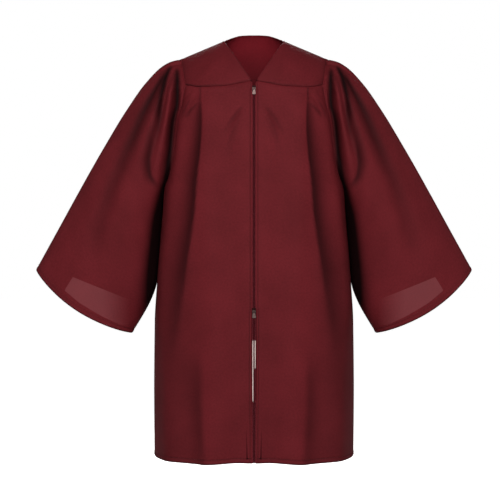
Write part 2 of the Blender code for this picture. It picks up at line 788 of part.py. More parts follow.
def prism(name, grid, finish):
    """A closed solid through rings of points, with flat ends."""
    rings, count = grid.shape[:2]
    faces = [tuple(range(count))[::-1], tuple(range((rings - 1) * count, rings * count))]
    for ring in range(rings - 1):
        for corner in range(count):
            after = (corner + 1) % count
            a, b = ring * count + corner, ring * count + after
            faces.append((a, b, b + count, a + count))
    mesh = bpy.data.meshes.new(name)
    mesh.from_pydata((grid.reshape(-1, 3) * MM).tolist(), [], faces)
    mesh.materials.append(finish)
    item = bpy.data.objects.new(name, mesh)
    bpy.context.scene.collection.objects.link(item)
    return item


def box_mesh(mesh_name, boxes, finish):
    """One mesh of boxes, each a low corner and a high corner."""
    points, faces = [], []
    for low, high in boxes:
        start = len(points)
        points += [(x, y, z) for x in (low[0], high[0]) for y in (low[1], high[1]) for z in (low[2], high[2])]
        sides = ((0, 1, 3, 2), (4, 6, 7, 5), (0, 4, 5, 1), (2, 3, 7, 6), (0, 2, 6, 4), (1, 5, 7, 3))
        faces += [tuple(start + corner for corner in side) for side in sides]
    mesh = bpy.data.meshes.new(mesh_name)
    mesh.from_pydata([tuple(c * MM for c in point) for point in points], [], faces)
    mesh.materials.append(finish)
    return mesh


def zip_place(level):
    """Where the cloth's face crosses the zip at a level, and how far it leans forward going down."""
    upper = float(body["front_depth"](level + LEAN_SPAN / 2))
    lower = float(body["front_depth"](level - LEAN_SPAN / 2))
    return -float(body["front_depth"](level)), math.atan2(lower - upper, LEAN_SPAN)


def slider(name, level, post_at_top, finish):
    """Front and back plates joined by a post between the coils, and a bridge for the pull tab."""
    half_width, half_length = SLIDER_WIDTH / 2, SLIDER_LENGTH / 2
    plate_face = SLIDER_CLEARANCE + PLATE_THICKNESS
    bridge_face = plate_face + TUNNEL_HEIGHT + BRIDGE_WALL
    half_bridge, half_span = BRIDGE_WIDTH / 2, BRIDGE_LENGTH / 2
    post_low = half_length - POST_LENGTH if post_at_top else -half_length
    pieces = (
        ((-half_width, -plate_face, -half_length), (half_width, -SLIDER_CLEARANCE, half_length)),
        (
            (-half_width + BACK_PLATE_INSET, -BACK_PLATE_FORWARD - PLATE_THICKNESS, -half_length),
            (half_width - BACK_PLATE_INSET, -BACK_PLATE_FORWARD, half_length),
        ),
        (
            (-POST_WIDTH / 2, -plate_face + JOIN_OVERLAP, post_low),
            (POST_WIDTH / 2, -BACK_PLATE_FORWARD - JOIN_OVERLAP, post_low + POST_LENGTH),
        ),
        ((-half_bridge, -bridge_face, -half_span), (half_bridge, -bridge_face + BRIDGE_WALL, half_span)),
        (
            (-half_bridge, -bridge_face + JOIN_OVERLAP, half_span - BRIDGE_WALL),
            (half_bridge, -plate_face + JOIN_OVERLAP, half_span),
        ),
        (
            (-half_bridge, -bridge_face + JOIN_OVERLAP, -half_span),
            (half_bridge, -plate_face + JOIN_OVERLAP, -half_span + BRIDGE_WALL),
        ),
    )
    face, lean = zip_place(level)
    item = bpy.data.objects.new(name, box_mesh(name, pieces[:1], finish))
    bpy.context.scene.collection.objects.link(item)
    item.location = (0, face * MM, level * MM)
    item.rotation_euler = (-lean, 0, 0)
    for index, piece in enumerate(pieces[1:]):
        helper = bpy.data.objects.new(f"{name}_piece_{index}", box_mesh(f"{name}_piece", [piece], finish))
        bpy.context.scene.collection.objects.link(helper)
        helper.location = item.location
        helper.rotation_euler = item.rotation_euler
        helper.hide_render = True
        helper.display_type = "WIRE"
        join = item.modifiers.new(f"Join {index}", "BOOLEAN")
        join.operation = "UNION"
        join.object = helper
    return item


def pull_tab(name, level, finish):
    """A flat tab with a hole round the bridge. Its origin is the axis of its top bar."""
    half_bar = PULL_BAR / 2
    half_top, half_end = PULL_TOP_WIDTH / 2, PULL_END_WIDTH / 2
    hole, hole_end = PULL_HOLE_WIDTH / 2, -half_bar - PULL_HOLE_LENGTH
    outline = (
        (half_top - PULL_SHOULDER, half_bar),
        (half_top, half_bar - PULL_SHOULDER),
        (half_top * PULL_WAIST, hole_end - PULL_WAIST_DROP),
        (half_end, -PULL_LENGTH + PULL_FLARE),
        (half_end, -PULL_LENGTH + PULL_CORNER),
        (half_end - PULL_CORNER, -PULL_LENGTH),
    )
    outline += tuple((-x, z) for x, z in outline[::-1])
    grid = np.array([[(x, side * half_bar, z) for x, z in outline] for side in (-1, 1)])
    item = prism(name, grid[::-1], finish)
    cutter = box_mesh(f"{name}_hole", [((-hole, -2, hole_end), (hole, 2, -half_bar))], finish)
    helper = bpy.data.objects.new(f"{name}_hole", cutter)
    bpy.context.scene.collection.objects.link(helper)
    helper.parent = item
    helper.hide_render = True
    helper.display_type = "WIRE"
    cut = item.modifiers.new("Hole", "BOOLEAN")
    cut.operation = "DIFFERENCE"
    cut.object = helper
    face, lean = zip_place(level)
    forward = SLIDER_CLEARANCE + PLATE_THICKNESS + TUNNEL_HEIGHT / 2
    item.location = (0, (face - forward * math.cos(lean)) * MM, (level + forward * math.sin(lean)) * MM)
    item.rotation_euler = (-lean, 0, 0)
    print(name, "hinge at", [round(value, 6) for value in item.location], "lean", round(math.degrees(lean), 2))
    return item


def main():
    clear_scene()
    cloth = material("Maroon polyester", MAROON, 0.75, 0.0)
    tape = material("Zip tape", MAROON_DARK, 0.8, 0.0)
    zinc = material("Plated zinc", ZINC, 0.4, 1.0)
    front = front_panel_grid()
    sheet("front_right", front, cloth, hem_rows=2)
    sheet("front_left", mirrored(front), cloth, hem_rows=2)
    sheet("back", back_panel_grid(), cloth, hem_rows=2)
    yoke = front_yoke_grid()
    sheet("yoke_front_right", yoke, cloth)
    sheet("yoke_front_left", mirrored(yoke), cloth)
    sheet("yoke_back", back_yoke_grid(), cloth, even=False)
    right_sleeve = sleeve_grid()
    sheet("sleeve_right", right_sleeve, cloth, closed=True, hem_rows=2)
    sheet("sleeve_left", mirrored(right_sleeve), cloth, closed=True, hem_rows=2)
    tape_grid = zip_tape_grid()
    prism("zip_tape_right", tape_grid, tape)
    prism("zip_tape_left", mirrored(tape_grid), tape)
    slider("slider_upper", UPPER_SLIDER_LEVEL, True, zinc)
    slider("slider_lower", LOWER_SLIDER_LEVEL, False, zinc)
    pull_tab("pull_upper", UPPER_SLIDER_LEVEL, zinc)
    pull_tab("pull_lower", LOWER_SLIDER_LEVEL, zinc)


main()
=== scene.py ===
# %% [markdown]
# A graduation gown is a big, simple garment: two fronts with a zip between them, a back, a yoke over the
# shoulders and two bell sleeves. What makes it look real is how the cloth hangs from its seams.
# This lesson dresses a fixed model of the gown. Every piece of cloth becomes a fine mesh that is worked
# out from the same body and sleeve shapes as the fixed model, with its pleats, hems and stitching added.

# %% Load the fixed model
import math

import bpy
import numpy as np
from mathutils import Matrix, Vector


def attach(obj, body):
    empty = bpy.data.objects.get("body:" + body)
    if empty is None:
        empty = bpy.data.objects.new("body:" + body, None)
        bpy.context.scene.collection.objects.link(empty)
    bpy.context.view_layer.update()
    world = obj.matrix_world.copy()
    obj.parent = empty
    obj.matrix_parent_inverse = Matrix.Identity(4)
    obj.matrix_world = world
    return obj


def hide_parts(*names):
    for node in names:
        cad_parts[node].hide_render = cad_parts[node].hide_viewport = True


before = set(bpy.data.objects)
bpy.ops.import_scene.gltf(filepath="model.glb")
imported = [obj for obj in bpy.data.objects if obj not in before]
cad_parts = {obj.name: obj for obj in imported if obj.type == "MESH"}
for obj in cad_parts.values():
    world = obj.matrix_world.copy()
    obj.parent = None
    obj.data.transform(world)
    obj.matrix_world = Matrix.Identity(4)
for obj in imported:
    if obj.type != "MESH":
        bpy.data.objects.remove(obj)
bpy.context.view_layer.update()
MM = 0.001

# %% [markdown]
# A curve through a few measured points describes how a width, a depth or a fold changes down the gown.
# A plain spline overshoots between close points, so this one is monotone: it never passes its own points.


# %% Curves through tables
def smooth(knots, values):
    """A smooth function through the values at the knots, which never goes past two neighbouring ones."""
    knots = np.array(knots, float)
    values = np.array(values, float)
    spans = np.diff(knots)
    secants = np.diff(values) / spans
    slopes = np.concatenate([secants[:1], np.zeros(len(knots) - 2), secants[-1:]])
    same_way = secants[:-1] * secants[1:] > 0
    near, far = spans[:-1] + 2 * spans[1:], 2 * spans[:-1] + spans[1:]
    safe = np.where(same_way, secants[:-1] * secants[1:], 1.0)
    mean = (near + far) * safe / np.where(same_way, near * secants[1:] + far * secants[:-1], 1.0)
    slopes[1:-1] = np.where(same_way, mean, 0.0)

    def read(at):
        at = np.clip(np.asarray(at, float), knots[0], knots[-1])
        left = np.clip(np.searchsorted(knots, at) - 1, 0, len(knots) - 2)
        t = (at - knots[left]) / spans[left]
        start, end = values[left], values[left + 1]
        leave, arrive = slopes[left] * spans[left], slopes[left + 1] * spans[left]
        return (
            (2 * t**3 - 3 * t**2 + 1) * start
            + (t**3 - 2 * t**2 + t) * leave
            + (3 * t**2 - 2 * t**3) * end
            + (t**3 - t**2) * arrive
        )

    return read


def columns_of(names, rows):
    """One smooth function for each column after the first, which is the key."""
    table = sorted(rows)
    keys = [row[0] for row in table]
    return {name: smooth(keys, [row[i] for row in table]) for i, name in enumerate(names) if i}


def ease(share):
    """A soft step from 0 to 1."""
    share = np.clip(share, 0, 1)
    return share * share * (3 - 2 * share)


# %% [markdown]
# The body of the gown is a stack of level cross-sections. Each is a superellipse, a rounded box whose
# squareness sets how full its corners are. The sizes below are in millimetres, measured from the neck end
# of the shoulder seam, and are those of the fixed model.

# %% The body's sizes
SEAM_GAP = 0.5
NECK_HALF_WIDTH = 56
NECK_BACK_RISE = 19
NECK_BACK_DEPTH = 50
NECK_BACK_ROUND = 3
NECK_BACK_CURVE = 2.2
NECK_V_SLACK = 0.975
SHOULDER_HALF_WIDTH = 138
SHOULDER_DROP = 34.5
SHOULDER_SEAM_FORWARD = 6
SHOULDER_SEAM_GAP = -0.4
YOKE_CORNER_OUT = 126
YOKE_BACK_CORNER_OUT = 129
YOKE_POINT_OUT = 5.5
YOKE_POINT_LEVEL = -82
YOKE_TURN = math.radians(76)
BACK_YOKE_START = SHOULDER_SEAM_GAP - SHOULDER_SEAM_FORWARD
FRONT_YOKE_ROUND = 0.6
BACK_YOKE_ROUND = 0.8
NECK_LIFT_REACH = 24
UNDERARM_LEVEL = -275
HEM_LEVEL = -763
HEM_DIP = 3
HEM_DIP_OUT = 98
HEM_DIP_WIDTH = 34
ZIP_LIP = 2.9
ARMHOLE_PULL = 6
CURVE_STEPS = 400
NECK_STEPS = 80
FOLD_FADE_TURN = math.radians(9)

ZIP_PARTING_COLUMNS = ("level", "parting")
ZIP_PARTING = (
    (-60, 0),
    (-488, 0),
    (-497, 0.9),
    (-530, 1.2),
    (-600, 1.3),
    (-660, 0.8),
    (-700, 0.2),
    (-763, 0.1),
)
BODY_COLUMNS = ("level", "half_width", "front_depth", "back_depth", "squareness")
BODY = (
    (-60, 130, 80, 74, 3.4),
    (-86, 134, 90, 84, 3.4),
    (-117, 138, 100, 91, 3.4),
    (-153, 147, 107, 97, 3.3),
    (-190, 151.5, 111, 100, 3.2),
    (-225, 155.5, 114, 103, 3.1),
    (-255, 161, 116.5, 105, 3.0),
    (-275, 166, 118, 106, 2.9),
    (-330, 170, 121, 108, 2.8),
    (-388, 175, 124, 110, 2.8),
    (-455, 180, 127, 113, 2.8),
    (-520, 184, 129, 116, 2.8),
    (-640, 185, 132, 122, 2.9),
    (-763, 184, 135, 128, 3.0),
)
YOKE_SEAM_COLUMNS = ("out", "level")
YOKE_SEAM = ((0, -81.5), (7, -82.5), (25, -86), (52, -91), (97, -92.5), (126, -86.5))
BACK_SEAM_COLUMNS = ("out", "level")
BACK_SEAM = ((0, -96), (60, -95), (100, -92), (129, -88))
ARMHOLE_COLUMNS = ("level", "front_turn", "back_turn")
ARMHOLE = (
    (-86.5, 56.9, 54.0),
    (-117, 59.0, 57.0),
    (-153, 60.0, 59.0),
    (-190, 60.5, 60.0),
    (-225, 62.5, 62.5),
    (-252, 67.5, 67.5),
    (-268, 76.5, 76.5),
    (-275, 90.0, 90.0),
)
STEADY_COLUMNS = ("level", "turn")
STEADY = ((-86, 56), (-153, 59), (-225, 63), (-275, 68), (-350, 79), (-430, 88), (-480, 90))

body = columns_of(BODY_COLUMNS, BODY)
yoke_seam = columns_of(YOKE_SEAM_COLUMNS, YOKE_SEAM)["level"]
back_seam = columns_of(BACK_SEAM_COLUMNS, BACK_SEAM)["level"]
steady_turn = columns_of(STEADY_COLUMNS, STEADY)["turn"]
zip_parting = columns_of(ZIP_PARTING_COLUMNS, ZIP_PARTING)["parting"]
print("the body is", 2 * BODY[-1][1], "mm wide at the hem and", -HEM_LEVEL, "mm long")

# %% [markdown]
# Cloth hangs in two kinds of fold here. A flute is a soft wave, the same on both sides. A pleat is
# pressed: it breaks at a sharp lip and falls away to one side. Each fold has a table that says how far
# out it runs at each level, how high or deep it is there, and how wide it is.

# %% The folds of the fronts and the back
FOLD_COLUMNS = ("level", "across", "height", "inner", "outer")
FRONT_FLUTES = {
    "ridge beside the pleat": (
        (-93, 82, 0, 12, 8),
        (-125, 82, 1.5, 16, 8),
        (-172, 80, 2.5, 20, 9),
        (-250, 82, 3.0, 22, 12),
        (-387, 78, 4.0, 24, 18),
        (-545, 70, 5.5, 22, 20),
        (-704, 68, 6.5, 20, 20),
        (-763, 68, 7.5, 20, 20),
    ),
    "hollow of the front": (
        (-93, 48, 0, 14, 14),
        (-200, 50, -1.4, 13, 13),
        (-300, 50, -1.6, 13, 13),
        (-450, 46, -1.0, 14, 14),
        (-600, 44, 0, 14, 14),
    ),
    "side flute": (
        (-93, 122, 0, 12, 12),
        (-150, 130, 1.5, 12, 12),
        (-230, 142, 2.5, 14, 14),
        (-330, 155, 3.0, 14, 18),
        (-470, 165, 3.0, 16, 20),
        (-620, 152, 5.0, 20, 22),
        (-763, 144, 8.0, 22, 24),
    ),
    "valley beside the zip": (
        (-93, 30, 0, 14, 16),
        (-300, 40, 0, 14, 16),
        (-380, 38, -1.2, 16, 16),
        (-545, 32, -2.5, 14, 16),
        (-650, 30, -3.0, 13, 16),
        (-763, 30, -4.0, 14, 16),
    ),
}
PLEAT_COLUMNS = ("level", "across", "depth", "lip", "fall", "reach")
FRONT_PLEATS = {
    "pleat from the yoke": (
        (-86, 97.0, 0.9, 2, 3, 10),
        (-113, 97.0, 1.4, 2, 3, 12),
        (-124, 95.5, 4.0, 3, 6, 20),
        (-159, 92.6, 8.5, 4, 9, 34),
        (-209, 96.1, 10.5, 5, 11, 42),
        (-264, 103.2, 11.5, 6, 12, 46),
        (-319, 106.8, 11.5, 7, 13, 46),
        (-364, 113.9, 10.5, 8, 14, 44),
        (-408, 121.0, 9.0, 9, 15, 40),
        (-453, 128.2, 7.0, 10, 16, 36),
        (-529, 142.0, 3.0, 12, 16, 26),
        (-600, 150.0, 0.0, 12, 16, 26),
    ),
    "lower pleat": (
        (-540, 101, 0, 8, 12, 26),
        (-600, 98, 2.5, 8, 12, 30),
        (-659, 95, 5.0, 8, 12, 32),
        (-707, 92, 7.0, 8, 12, 32),
        (-763, 90, 9.0, 8, 12, 32),
    ),
}
BACK_FOLDS = {
    "first back pleat": (
        (-97, 30, 0, 4, 4),
        (-112, 30, -4.0, 5, 6),
        (-180, 31, -6.5, 9, 10),
        (-320, 34, -7.0, 13, 14),
        (-520, 37, -6.0, 16, 17),
        (-763, 40, -7.0, 18, 18),
    ),
    "ridge between the pleats": (
        (-97, 48, 0, 8, 8),
        (-140, 49, 2.0, 9, 9),
        (-300, 55, 3.5, 14, 14),
        (-520, 62, 4.0, 18, 18),
        (-763, 68, 7.0, 20, 20),
    ),
    "second back pleat": (
        (-97, 66, 0, 4, 4),
        (-110, 66, -3.6, 5, 6),
        (-180, 69, -6.0, 9, 10),
        (-320, 80, -6.5, 13, 14),
        (-520, 92, -5.0, 17, 18),
        (-763, 100, -8.0, 19, 19),
    ),
    "third back pleat": (
        (-95, 99, 0, 4, 4),
        (-108, 99, -3.4, 5, 6),
        (-180, 107, -5.5, 9, 10),
        (-300, 122, -6.0, 13, 14),
        (-430, 136, -4.0, 17, 17),
        (-560, 146, 0, 18, 18),
        (-763, 146, 0, 18, 18),
    ),
    "back side flute": (
        (-97, 125, 0, 12, 12),
        (-330, 155, 2.0, 14, 18),
        (-560, 158, 3.5, 18, 20),
        (-763, 144, 8.0, 22, 24),
    ),
}
BACK_PLEATS = {
    "first back pleat": (
        (-86, 29, 0.9, 2, 3, 8),
        (-112, 29, 1.4, 2, 3, 9),
        (-130, 28, 3.5, 3, 5, 12),
        (-200, 27, 5.5, 4, 8, 17),
        (-420, 30, 4.0, 7, 10, 20),
        (-763, 36, 3.0, 8, 12, 22),
    ),
    "second back pleat": (
        (-86, 64, 0.9, 2, 3, 8),
        (-110, 64, 1.4, 2, 3, 9),
        (-128, 63, 3.5, 3, 5, 13),
        (-200, 64, 5.0, 4, 8, 18),
        (-420, 80, 3.5, 7, 10, 20),
        (-763, 94, 3.0, 8, 12, 22),
    ),
    "third back pleat": (
        (-86, 98, 0.9, 2, 3, 8),
        (-108, 98, 1.4, 2, 3, 9),
        (-126, 98, 3.5, 3, 5, 13),
        (-200, 103, 5.0, 4, 8, 18),
        (-420, 130, 2.5, 7, 10, 20),
        (-560, 146, 0.0, 8, 12, 22),
    ),
}

# %% [markdown]
# Drag lines are short creases that run across a panel, where the cloth is pulled between two fixed
# points. On the front they run down and out from the neck. Each is a path as seen from the front.

# %% Drag lines of the fronts
PATH_COLUMNS = ("out", "level", "height", "outer", "inner")
FRONT_DRAGS = {
    "crease under the neck": (
        (17, -126, 0, 2.5, 3.5),
        (22, -134, -1.3, 2.5, 4),
        (30, -143, -2.2, 3, 5),
        (39, -155, -1.9, 3, 6),
        (48, -170, -0.8, 4, 7),
        (54, -184, 0, 4, 7),
    ),
    "swell below the crease": (
        (14, -134, 0, 3, 4),
        (20, -143, 1.0, 4, 5),
        (29, -157, 1.5, 5, 6),
        (38, -172, 0.9, 5, 7),
        (46, -190, 0, 6, 7),
    ),
    "second crease": (
        (18, -146, 0, 2.5, 3),
        (24, -158, -0.9, 3, 4),
        (31, -176, -1.1, 4, 5),
        (38, -200, -0.7, 5, 6),
        (46, -235, 0, 6, 7),
    ),
    "pucker by the pleat": (
        (99, -103, 0, 2, 2),
        (106, -110, -1.0, 2, 3),
        (115, -121, -1.3, 3, 4),
        (124, -136, 0, 3, 4),
    ),
    "pucker at the yoke corner": (
        (112, -96, 0, 2, 2),
        (119, -104, -1.0, 2.5, 3),
        (127, -117, -1.0, 3, 4),
        (134, -134, 0, 3, 4),
    ),
    "swell at the pleat": (
        (100, -112, 0, 3, 3),
        (108, -122, 1.2, 4, 4),
        (116, -140, 0.9, 5, 5),
        (122, -165, 0, 6, 6),
    ),
}


# %% How a fold is read at a point of the body
def fold(offset, before, after):
    """A soft bump, 1 at offset 0, with its own width on each side."""
    width = np.where(offset < 0, before, after)
    return np.exp(-((offset / width) ** 2))


def pleat(offset, lip, fall, reach):
    """A pressed pleat: a small lip at offset 0, then a drop that levels out on the outer side."""
    past = np.maximum(offset, 0)
    drop = (1 - np.exp(-past / fall)) * np.exp(-((past / reach) ** 2))
    return 0.12 * np.exp(-((offset / (lip * 2)) ** 2)) - drop


def turn_at(out, level):
    """The angle round the body, from the centre line, of the point that is this far out."""
    square = body["squareness"](level)
    share = np.clip(np.abs(out) / body["half_width"](level), 0, 0.9999) ** square
    return np.arctan((share / (1 - share)) ** (1 / square))


def body_point(turn, level, face):
    """A point of the body's form on the wearer's right. Turn 0 is the centre line and pi/2 the side."""
    square = body["squareness"](level)
    reach = (np.sin(turn) ** square + np.cos(turn) ** square) ** (-1 / square)
    depth = body["front_depth"](level) if face == "front" else body["back_depth"](level)
    out = body["half_width"](level) * reach * np.sin(turn)
    forward = depth * reach * np.cos(turn)
    return np.stack([-out, -forward if face == "front" else forward, level], axis=-1)


front_flutes = [columns_of(FOLD_COLUMNS, rows) for rows in FRONT_FLUTES.values()]
front_pleats = [columns_of(PLEAT_COLUMNS, rows) for rows in FRONT_PLEATS.values()]
back_flutes = [columns_of(FOLD_COLUMNS, rows) for name, rows in BACK_FOLDS.items()]
back_pleats = [columns_of(PLEAT_COLUMNS, rows) for rows in BACK_PLEATS.values()]


def path_height(rows, out, level):
    """The height, at points seen from the front, of a crease that follows a path."""
    steps = np.linspace(0, len(rows) - 1, 12 * len(rows))
    table = dict(zip(PATH_COLUMNS, zip(*rows)))
    path = {name: smooth(np.arange(len(rows)), column)(steps) for name, column in table.items()}
    out_step, level_step = np.gradient(path["out"]), np.gradient(path["level"])
    height = np.zeros(out.shape)
    margin = 3 * max(*table["outer"], *table["inner"])
    near = (out > path["out"].min() - margin) & (out < path["out"].max() + margin)
    near &= (level > path["level"].min() - margin) & (level < path["level"].max() + margin)
    away_out = out[near][:, None] - path["out"]
    away_level = level[near][:, None] - path["level"]
    nearest = np.argmin(away_out**2 + away_level**2, axis=1)
    row = np.arange(len(nearest))
    length = np.hypot(out_step, level_step)[nearest]
    offset = away_level[row, nearest] * out_step[nearest] - away_out[row, nearest] * level_step[nearest]
    side = fold(-offset / length, path["outer"][nearest], path["inner"][nearest])
    height[near] = path["height"][nearest] * side
    return height


def fold_height(turn, level, face):
    """How far the folds stand out of the body's form."""
    spread = body["half_width"](level) * 0.5 + body["front_depth"](level) * 0.5
    height = np.zeros(np.broadcast(turn, level).shape)
    for found in front_flutes if face == "front" else back_flutes:
        offset = (turn - turn_at(found["across"](level), level)) * spread
        height = height + found["height"](level) * fold(offset, found["inner"](level), found["outer"](level))
    for found in front_pleats if face == "front" else back_pleats:
        offset = (turn - turn_at(found["across"](level), level)) * spread
        height = height + found["depth"](level) * pleat(
            offset, found["lip"](level), found["fall"](level), found["reach"](level)
        )
    return height * ease((math.pi / 2 - turn) / FOLD_FADE_TURN)


def panel_point(turn, level, face):
    """A point of the front or back panel, folds included."""
    level = np.broadcast_to(np.asarray(level, float), np.shape(turn)) * 1.0
    point = body_point(turn, level, face)
    height = fold_height(turn, level, face)
    if face == "front":
        for rows in FRONT_DRAGS.values():
            height = height + path_height(rows, -point[..., 0], level)
    forward = -np.cos(turn) if face == "front" else np.cos(turn)
    point[..., 0] -= height * np.sin(turn)
    point[..., 1] += height * forward
    return point


def armhole_turn(level, face):
    """The angle round the body at which the armhole cuts a level, a quarter turn below the underarm."""
    steps = np.linspace(0, len(ARMHOLE) - 1, CURVE_STEPS)
    rows = np.arange(len(ARMHOLE))
    table = dict(zip(ARMHOLE_COLUMNS, zip(*ARMHOLE)))
    levels = smooth(rows, table["level"])(steps)
    turns = np.radians(smooth(rows, table[face + "_turn"])(steps))
    return np.interp(-np.asarray(level, float), -levels, turns)


# %% [markdown]
# The yoke is one layer of cloth that lies over the shoulders. It falls from the shoulder line to its
# seam in a quarter round, and the V of the neck cuts its front. The back of it rises to the neckline.


# %% The yoke's form
def yoke_profile(share, roundness):
    """Shares of the depth and of the drop, over the shoulder and down to the yoke seam."""
    depth = np.sin(share * YOKE_TURN) / math.sin(YOKE_TURN)
    drop = (1 - np.cos(share * YOKE_TURN)) / (1 - math.cos(YOKE_TURN))
    return share + (depth - share) * roundness, share + (drop - share) * roundness


def shoulder_level(out):
    return -(out - NECK_HALF_WIDTH) * SHOULDER_DROP / (SHOULDER_HALF_WIDTH - NECK_HALF_WIDTH)


def neck_cut(out):
    """The share down the front yoke at which the V of the neck cuts it."""
    if out >= NECK_HALF_WIDTH:
        return 0.0
    slope = -YOKE_POINT_LEVEL / (NECK_HALF_WIDTH - YOKE_POINT_OUT)
    level = -(NECK_HALF_WIDTH - out) * slope * NECK_V_SLACK
    shares = np.linspace(0, 1, CURVE_STEPS)
    drops = yoke_profile(shares, FRONT_YOKE_ROUND)[1]
    drop = (shoulder_level(out) - level) / (shoulder_level(out) - yoke_seam(out))
    return float(np.interp(drop, drops, shares))


def front_yoke_point(out_top, out_seam, share):
    """A point of the front yoke on the wearer's right, in the column between two distances out."""
    cut = neck_cut(out_top)
    way = cut + (1 - cut) * share
    out = out_top + (out_seam - out_top) * share
    seam_depth = -body_point(turn_at(out, yoke_seam(out)), yoke_seam(out), "front")[..., 1]
    depth, drop = yoke_profile(way, FRONT_YOKE_ROUND)
    forward = SHOULDER_SEAM_FORWARD + (seam_depth - SHOULDER_SEAM_FORWARD) * depth
    top = shoulder_level(out)
    return np.array([-out, -forward, top - (top - yoke_seam(out)) * drop])


def back_yoke_level(out, way):
    """The height of the back yoke's form, at this share of the way from the shoulder line to its seam."""
    top = shoulder_level(out)
    if out < NECK_HALF_WIDTH:
        top = -shoulder_level(0) * (out**2 / NECK_HALF_WIDTH**2 - 1) / 2
    ways, drops = yoke_profile(np.linspace(0, 1, CURVE_STEPS), BACK_YOKE_ROUND)
    return top - (top - back_seam(out)) * np.interp(way, ways, drops)


def back_yoke_way(out, depth):
    """The share of the way from the shoulder line to the back yoke's seam at a plan point."""
    seam_depth = body_point(turn_at(out, back_seam(out)), back_seam(out), "back")[..., 1]
    return (depth - BACK_YOKE_START) / (seam_depth - BACK_YOKE_START)


def back_neckline(inward):
    """The depth and height of the neckline's edge at a share of its half width."""
    depth = BACK_YOKE_START + (NECK_BACK_DEPTH - BACK_YOKE_START) * math.sqrt(1 - inward**NECK_BACK_CURVE)
    return depth, NECK_BACK_RISE * (1 - inward**NECK_BACK_ROUND)


def neck_lift_table():
    """Plan points of the back neckline, and how far each stands above the yoke's form."""
    rows = []
    for inward in np.sin(np.linspace(0, math.pi / 2, NECK_STEPS)):
        out = NECK_HALF_WIDTH * inward
        depth, level = back_neckline(inward)
        rows.append((out, depth, level - back_yoke_level(out, back_yoke_way(out, depth))))
    return np.array(rows)


def back_yoke_point(out_top, out_seam, share):
    """A point of the back yoke on the wearer's right. The cloth rises from the yoke's form to the neckline."""
    start = BACK_YOKE_START
    if out_top < NECK_HALF_WIDTH:
        start = back_neckline(out_top / NECK_HALF_WIDTH)[0]
    out = out_top + (out_seam - out_top) * share
    seam_depth = body_point(turn_at(out, back_seam(out)), back_seam(out), "back")[..., 1]
    depth = start + (seam_depth - start) * yoke_profile(share, BACK_YOKE_ROUND)[0]
    distances = np.hypot(neck_lift[:, 0] - out, neck_lift[:, 1] - depth)
    nearest = np.argmin(distances)
    lift = neck_lift[nearest, 2] * math.exp(-((distances[nearest] / NECK_LIFT_REACH) ** 2)) * (1 - share**4)
    return np.array([-out, depth, back_yoke_level(out, back_yoke_way(out, depth)) + lift])


neck_lift = neck_lift_table()
print("the back neckline stands", round(float(neck_lift[0, 2]), 1), "mm above the yoke's own curve")

# %% [markdown]
# A bell sleeve is a wide cone that is gathered into a small armhole. The gathers fan out from the seam
# and die away down the sleeve. Seen from the front it is a flat shape between an outer and an under edge,
# so its sections are laid between those two edges, and each has a depth.

# %% The sleeve's sizes and folds
SLEEVE_COLUMNS = ("along", "edge_x", "edge_z", "under_x", "under_z", "half_depth", "swell")
SLEEVE = (
    (0.00, -138.0, -34.5, -167.0, -276, 60, 0),
    (0.05, -154.0, -38.5, -169.0, -284, 66, 0),
    (0.10, -170.0, -47.0, -170.2, -293, 71, 0),
    (0.20, -199.0, -75.0, -171.8, -314, 74, 2),
    (0.35, -238.5, -131.0, -174.2, -346, 72, 5),
    (0.50, -279.0, -198.0, -177.0, -378, 68, 8),
    (0.70, -329.0, -286.0, -182.0, -432, 62, 12),
    (0.85, -367.0, -355.0, -196.0, -482, 57, 15),
    (1.00, -405.0, -424.0, -226.0, -542, 52, 17),
)
SLEEVE_SEAM_REACH = 0.3
SLEEVE_LENGTH = 400
SLEEVE_FOLD_START = 0.02
SLEEVE_FOLD_SPREAD = 1.4
SLEEVE_GAP = 0.3
SLEEVE_CLOSER = ((0, 0), (0.05, 2.3), (0.65, 2.3), (0.8, 4.6), (0.9, 2.5), (1, 0))
ARMHOLE_ALLOWANCE = 5.0
ARMHOLE_RADIUS = 110
SLEEVE_FRONT_FOLDS = {
    "groove beside the armhole": (
        (138, -66, 0, 6, 6),
        (140, -84, -6.0, 6, 7),
        (141, -115, -10.0, 7, 8),
        (147, -158, -10.0, 8, 8),
        (154, -205, -8.0, 8, 8),
        (163, -250, -4.0, 8, 8),
        (170, -285, 0, 8, 8),
    ),
    "ridge beside the groove": (
        (142, -60, 0, 5, 5),
        (149, -90, 5.0, 6, 6),
        (155, -120, 5.0, 7, 7),
        (161, -160, 4.5, 8, 8),
        (168, -205, 3.5, 10, 9),
        (176, -250, 2.0, 12, 10),
        (184, -300, 0, 12, 10),
    ),
    "short pleat": (
        (141, -52, 0, 4, 4),
        (154, -71, -6.0, 5, 5),
        (163, -115, -8.5, 6, 6),
        (170, -158, -7.0, 7, 7),
        (178, -191, -5.0, 8, 7),
        (187, -224, -4.0, 9, 7),
        (189, -252, -3.0, 9, 7),
        (184, -276, 0, 9, 7),
    ),
    "ridge between the pleats": (
        (148, -50, 0, 5, 5),
        (163, -75, 3.0, 6, 6),
        (176, -118, 4.0, 8, 8),
        (191, -165, 4.0, 11, 10),
        (206, -215, 3.0, 14, 12),
        (220, -270, 0, 16, 14),
    ),
    "long pleat": (
        (144, -46, 0, 4, 4),
        (166, -69, -6.5, 6, 6),
        (187, -115, -9.5, 9, 8),
        (206, -158, -9.0, 11, 10),
        (229, -213, -8.0, 13, 12),
        (249, -256, -7.0, 15, 13),
        (263, -300, -6.0, 16, 14),
        (281, -344, -4.5, 18, 16),
        (291, -388, -2.5, 20, 18),
        (299, -430, 0, 20, 18),
    ),
}
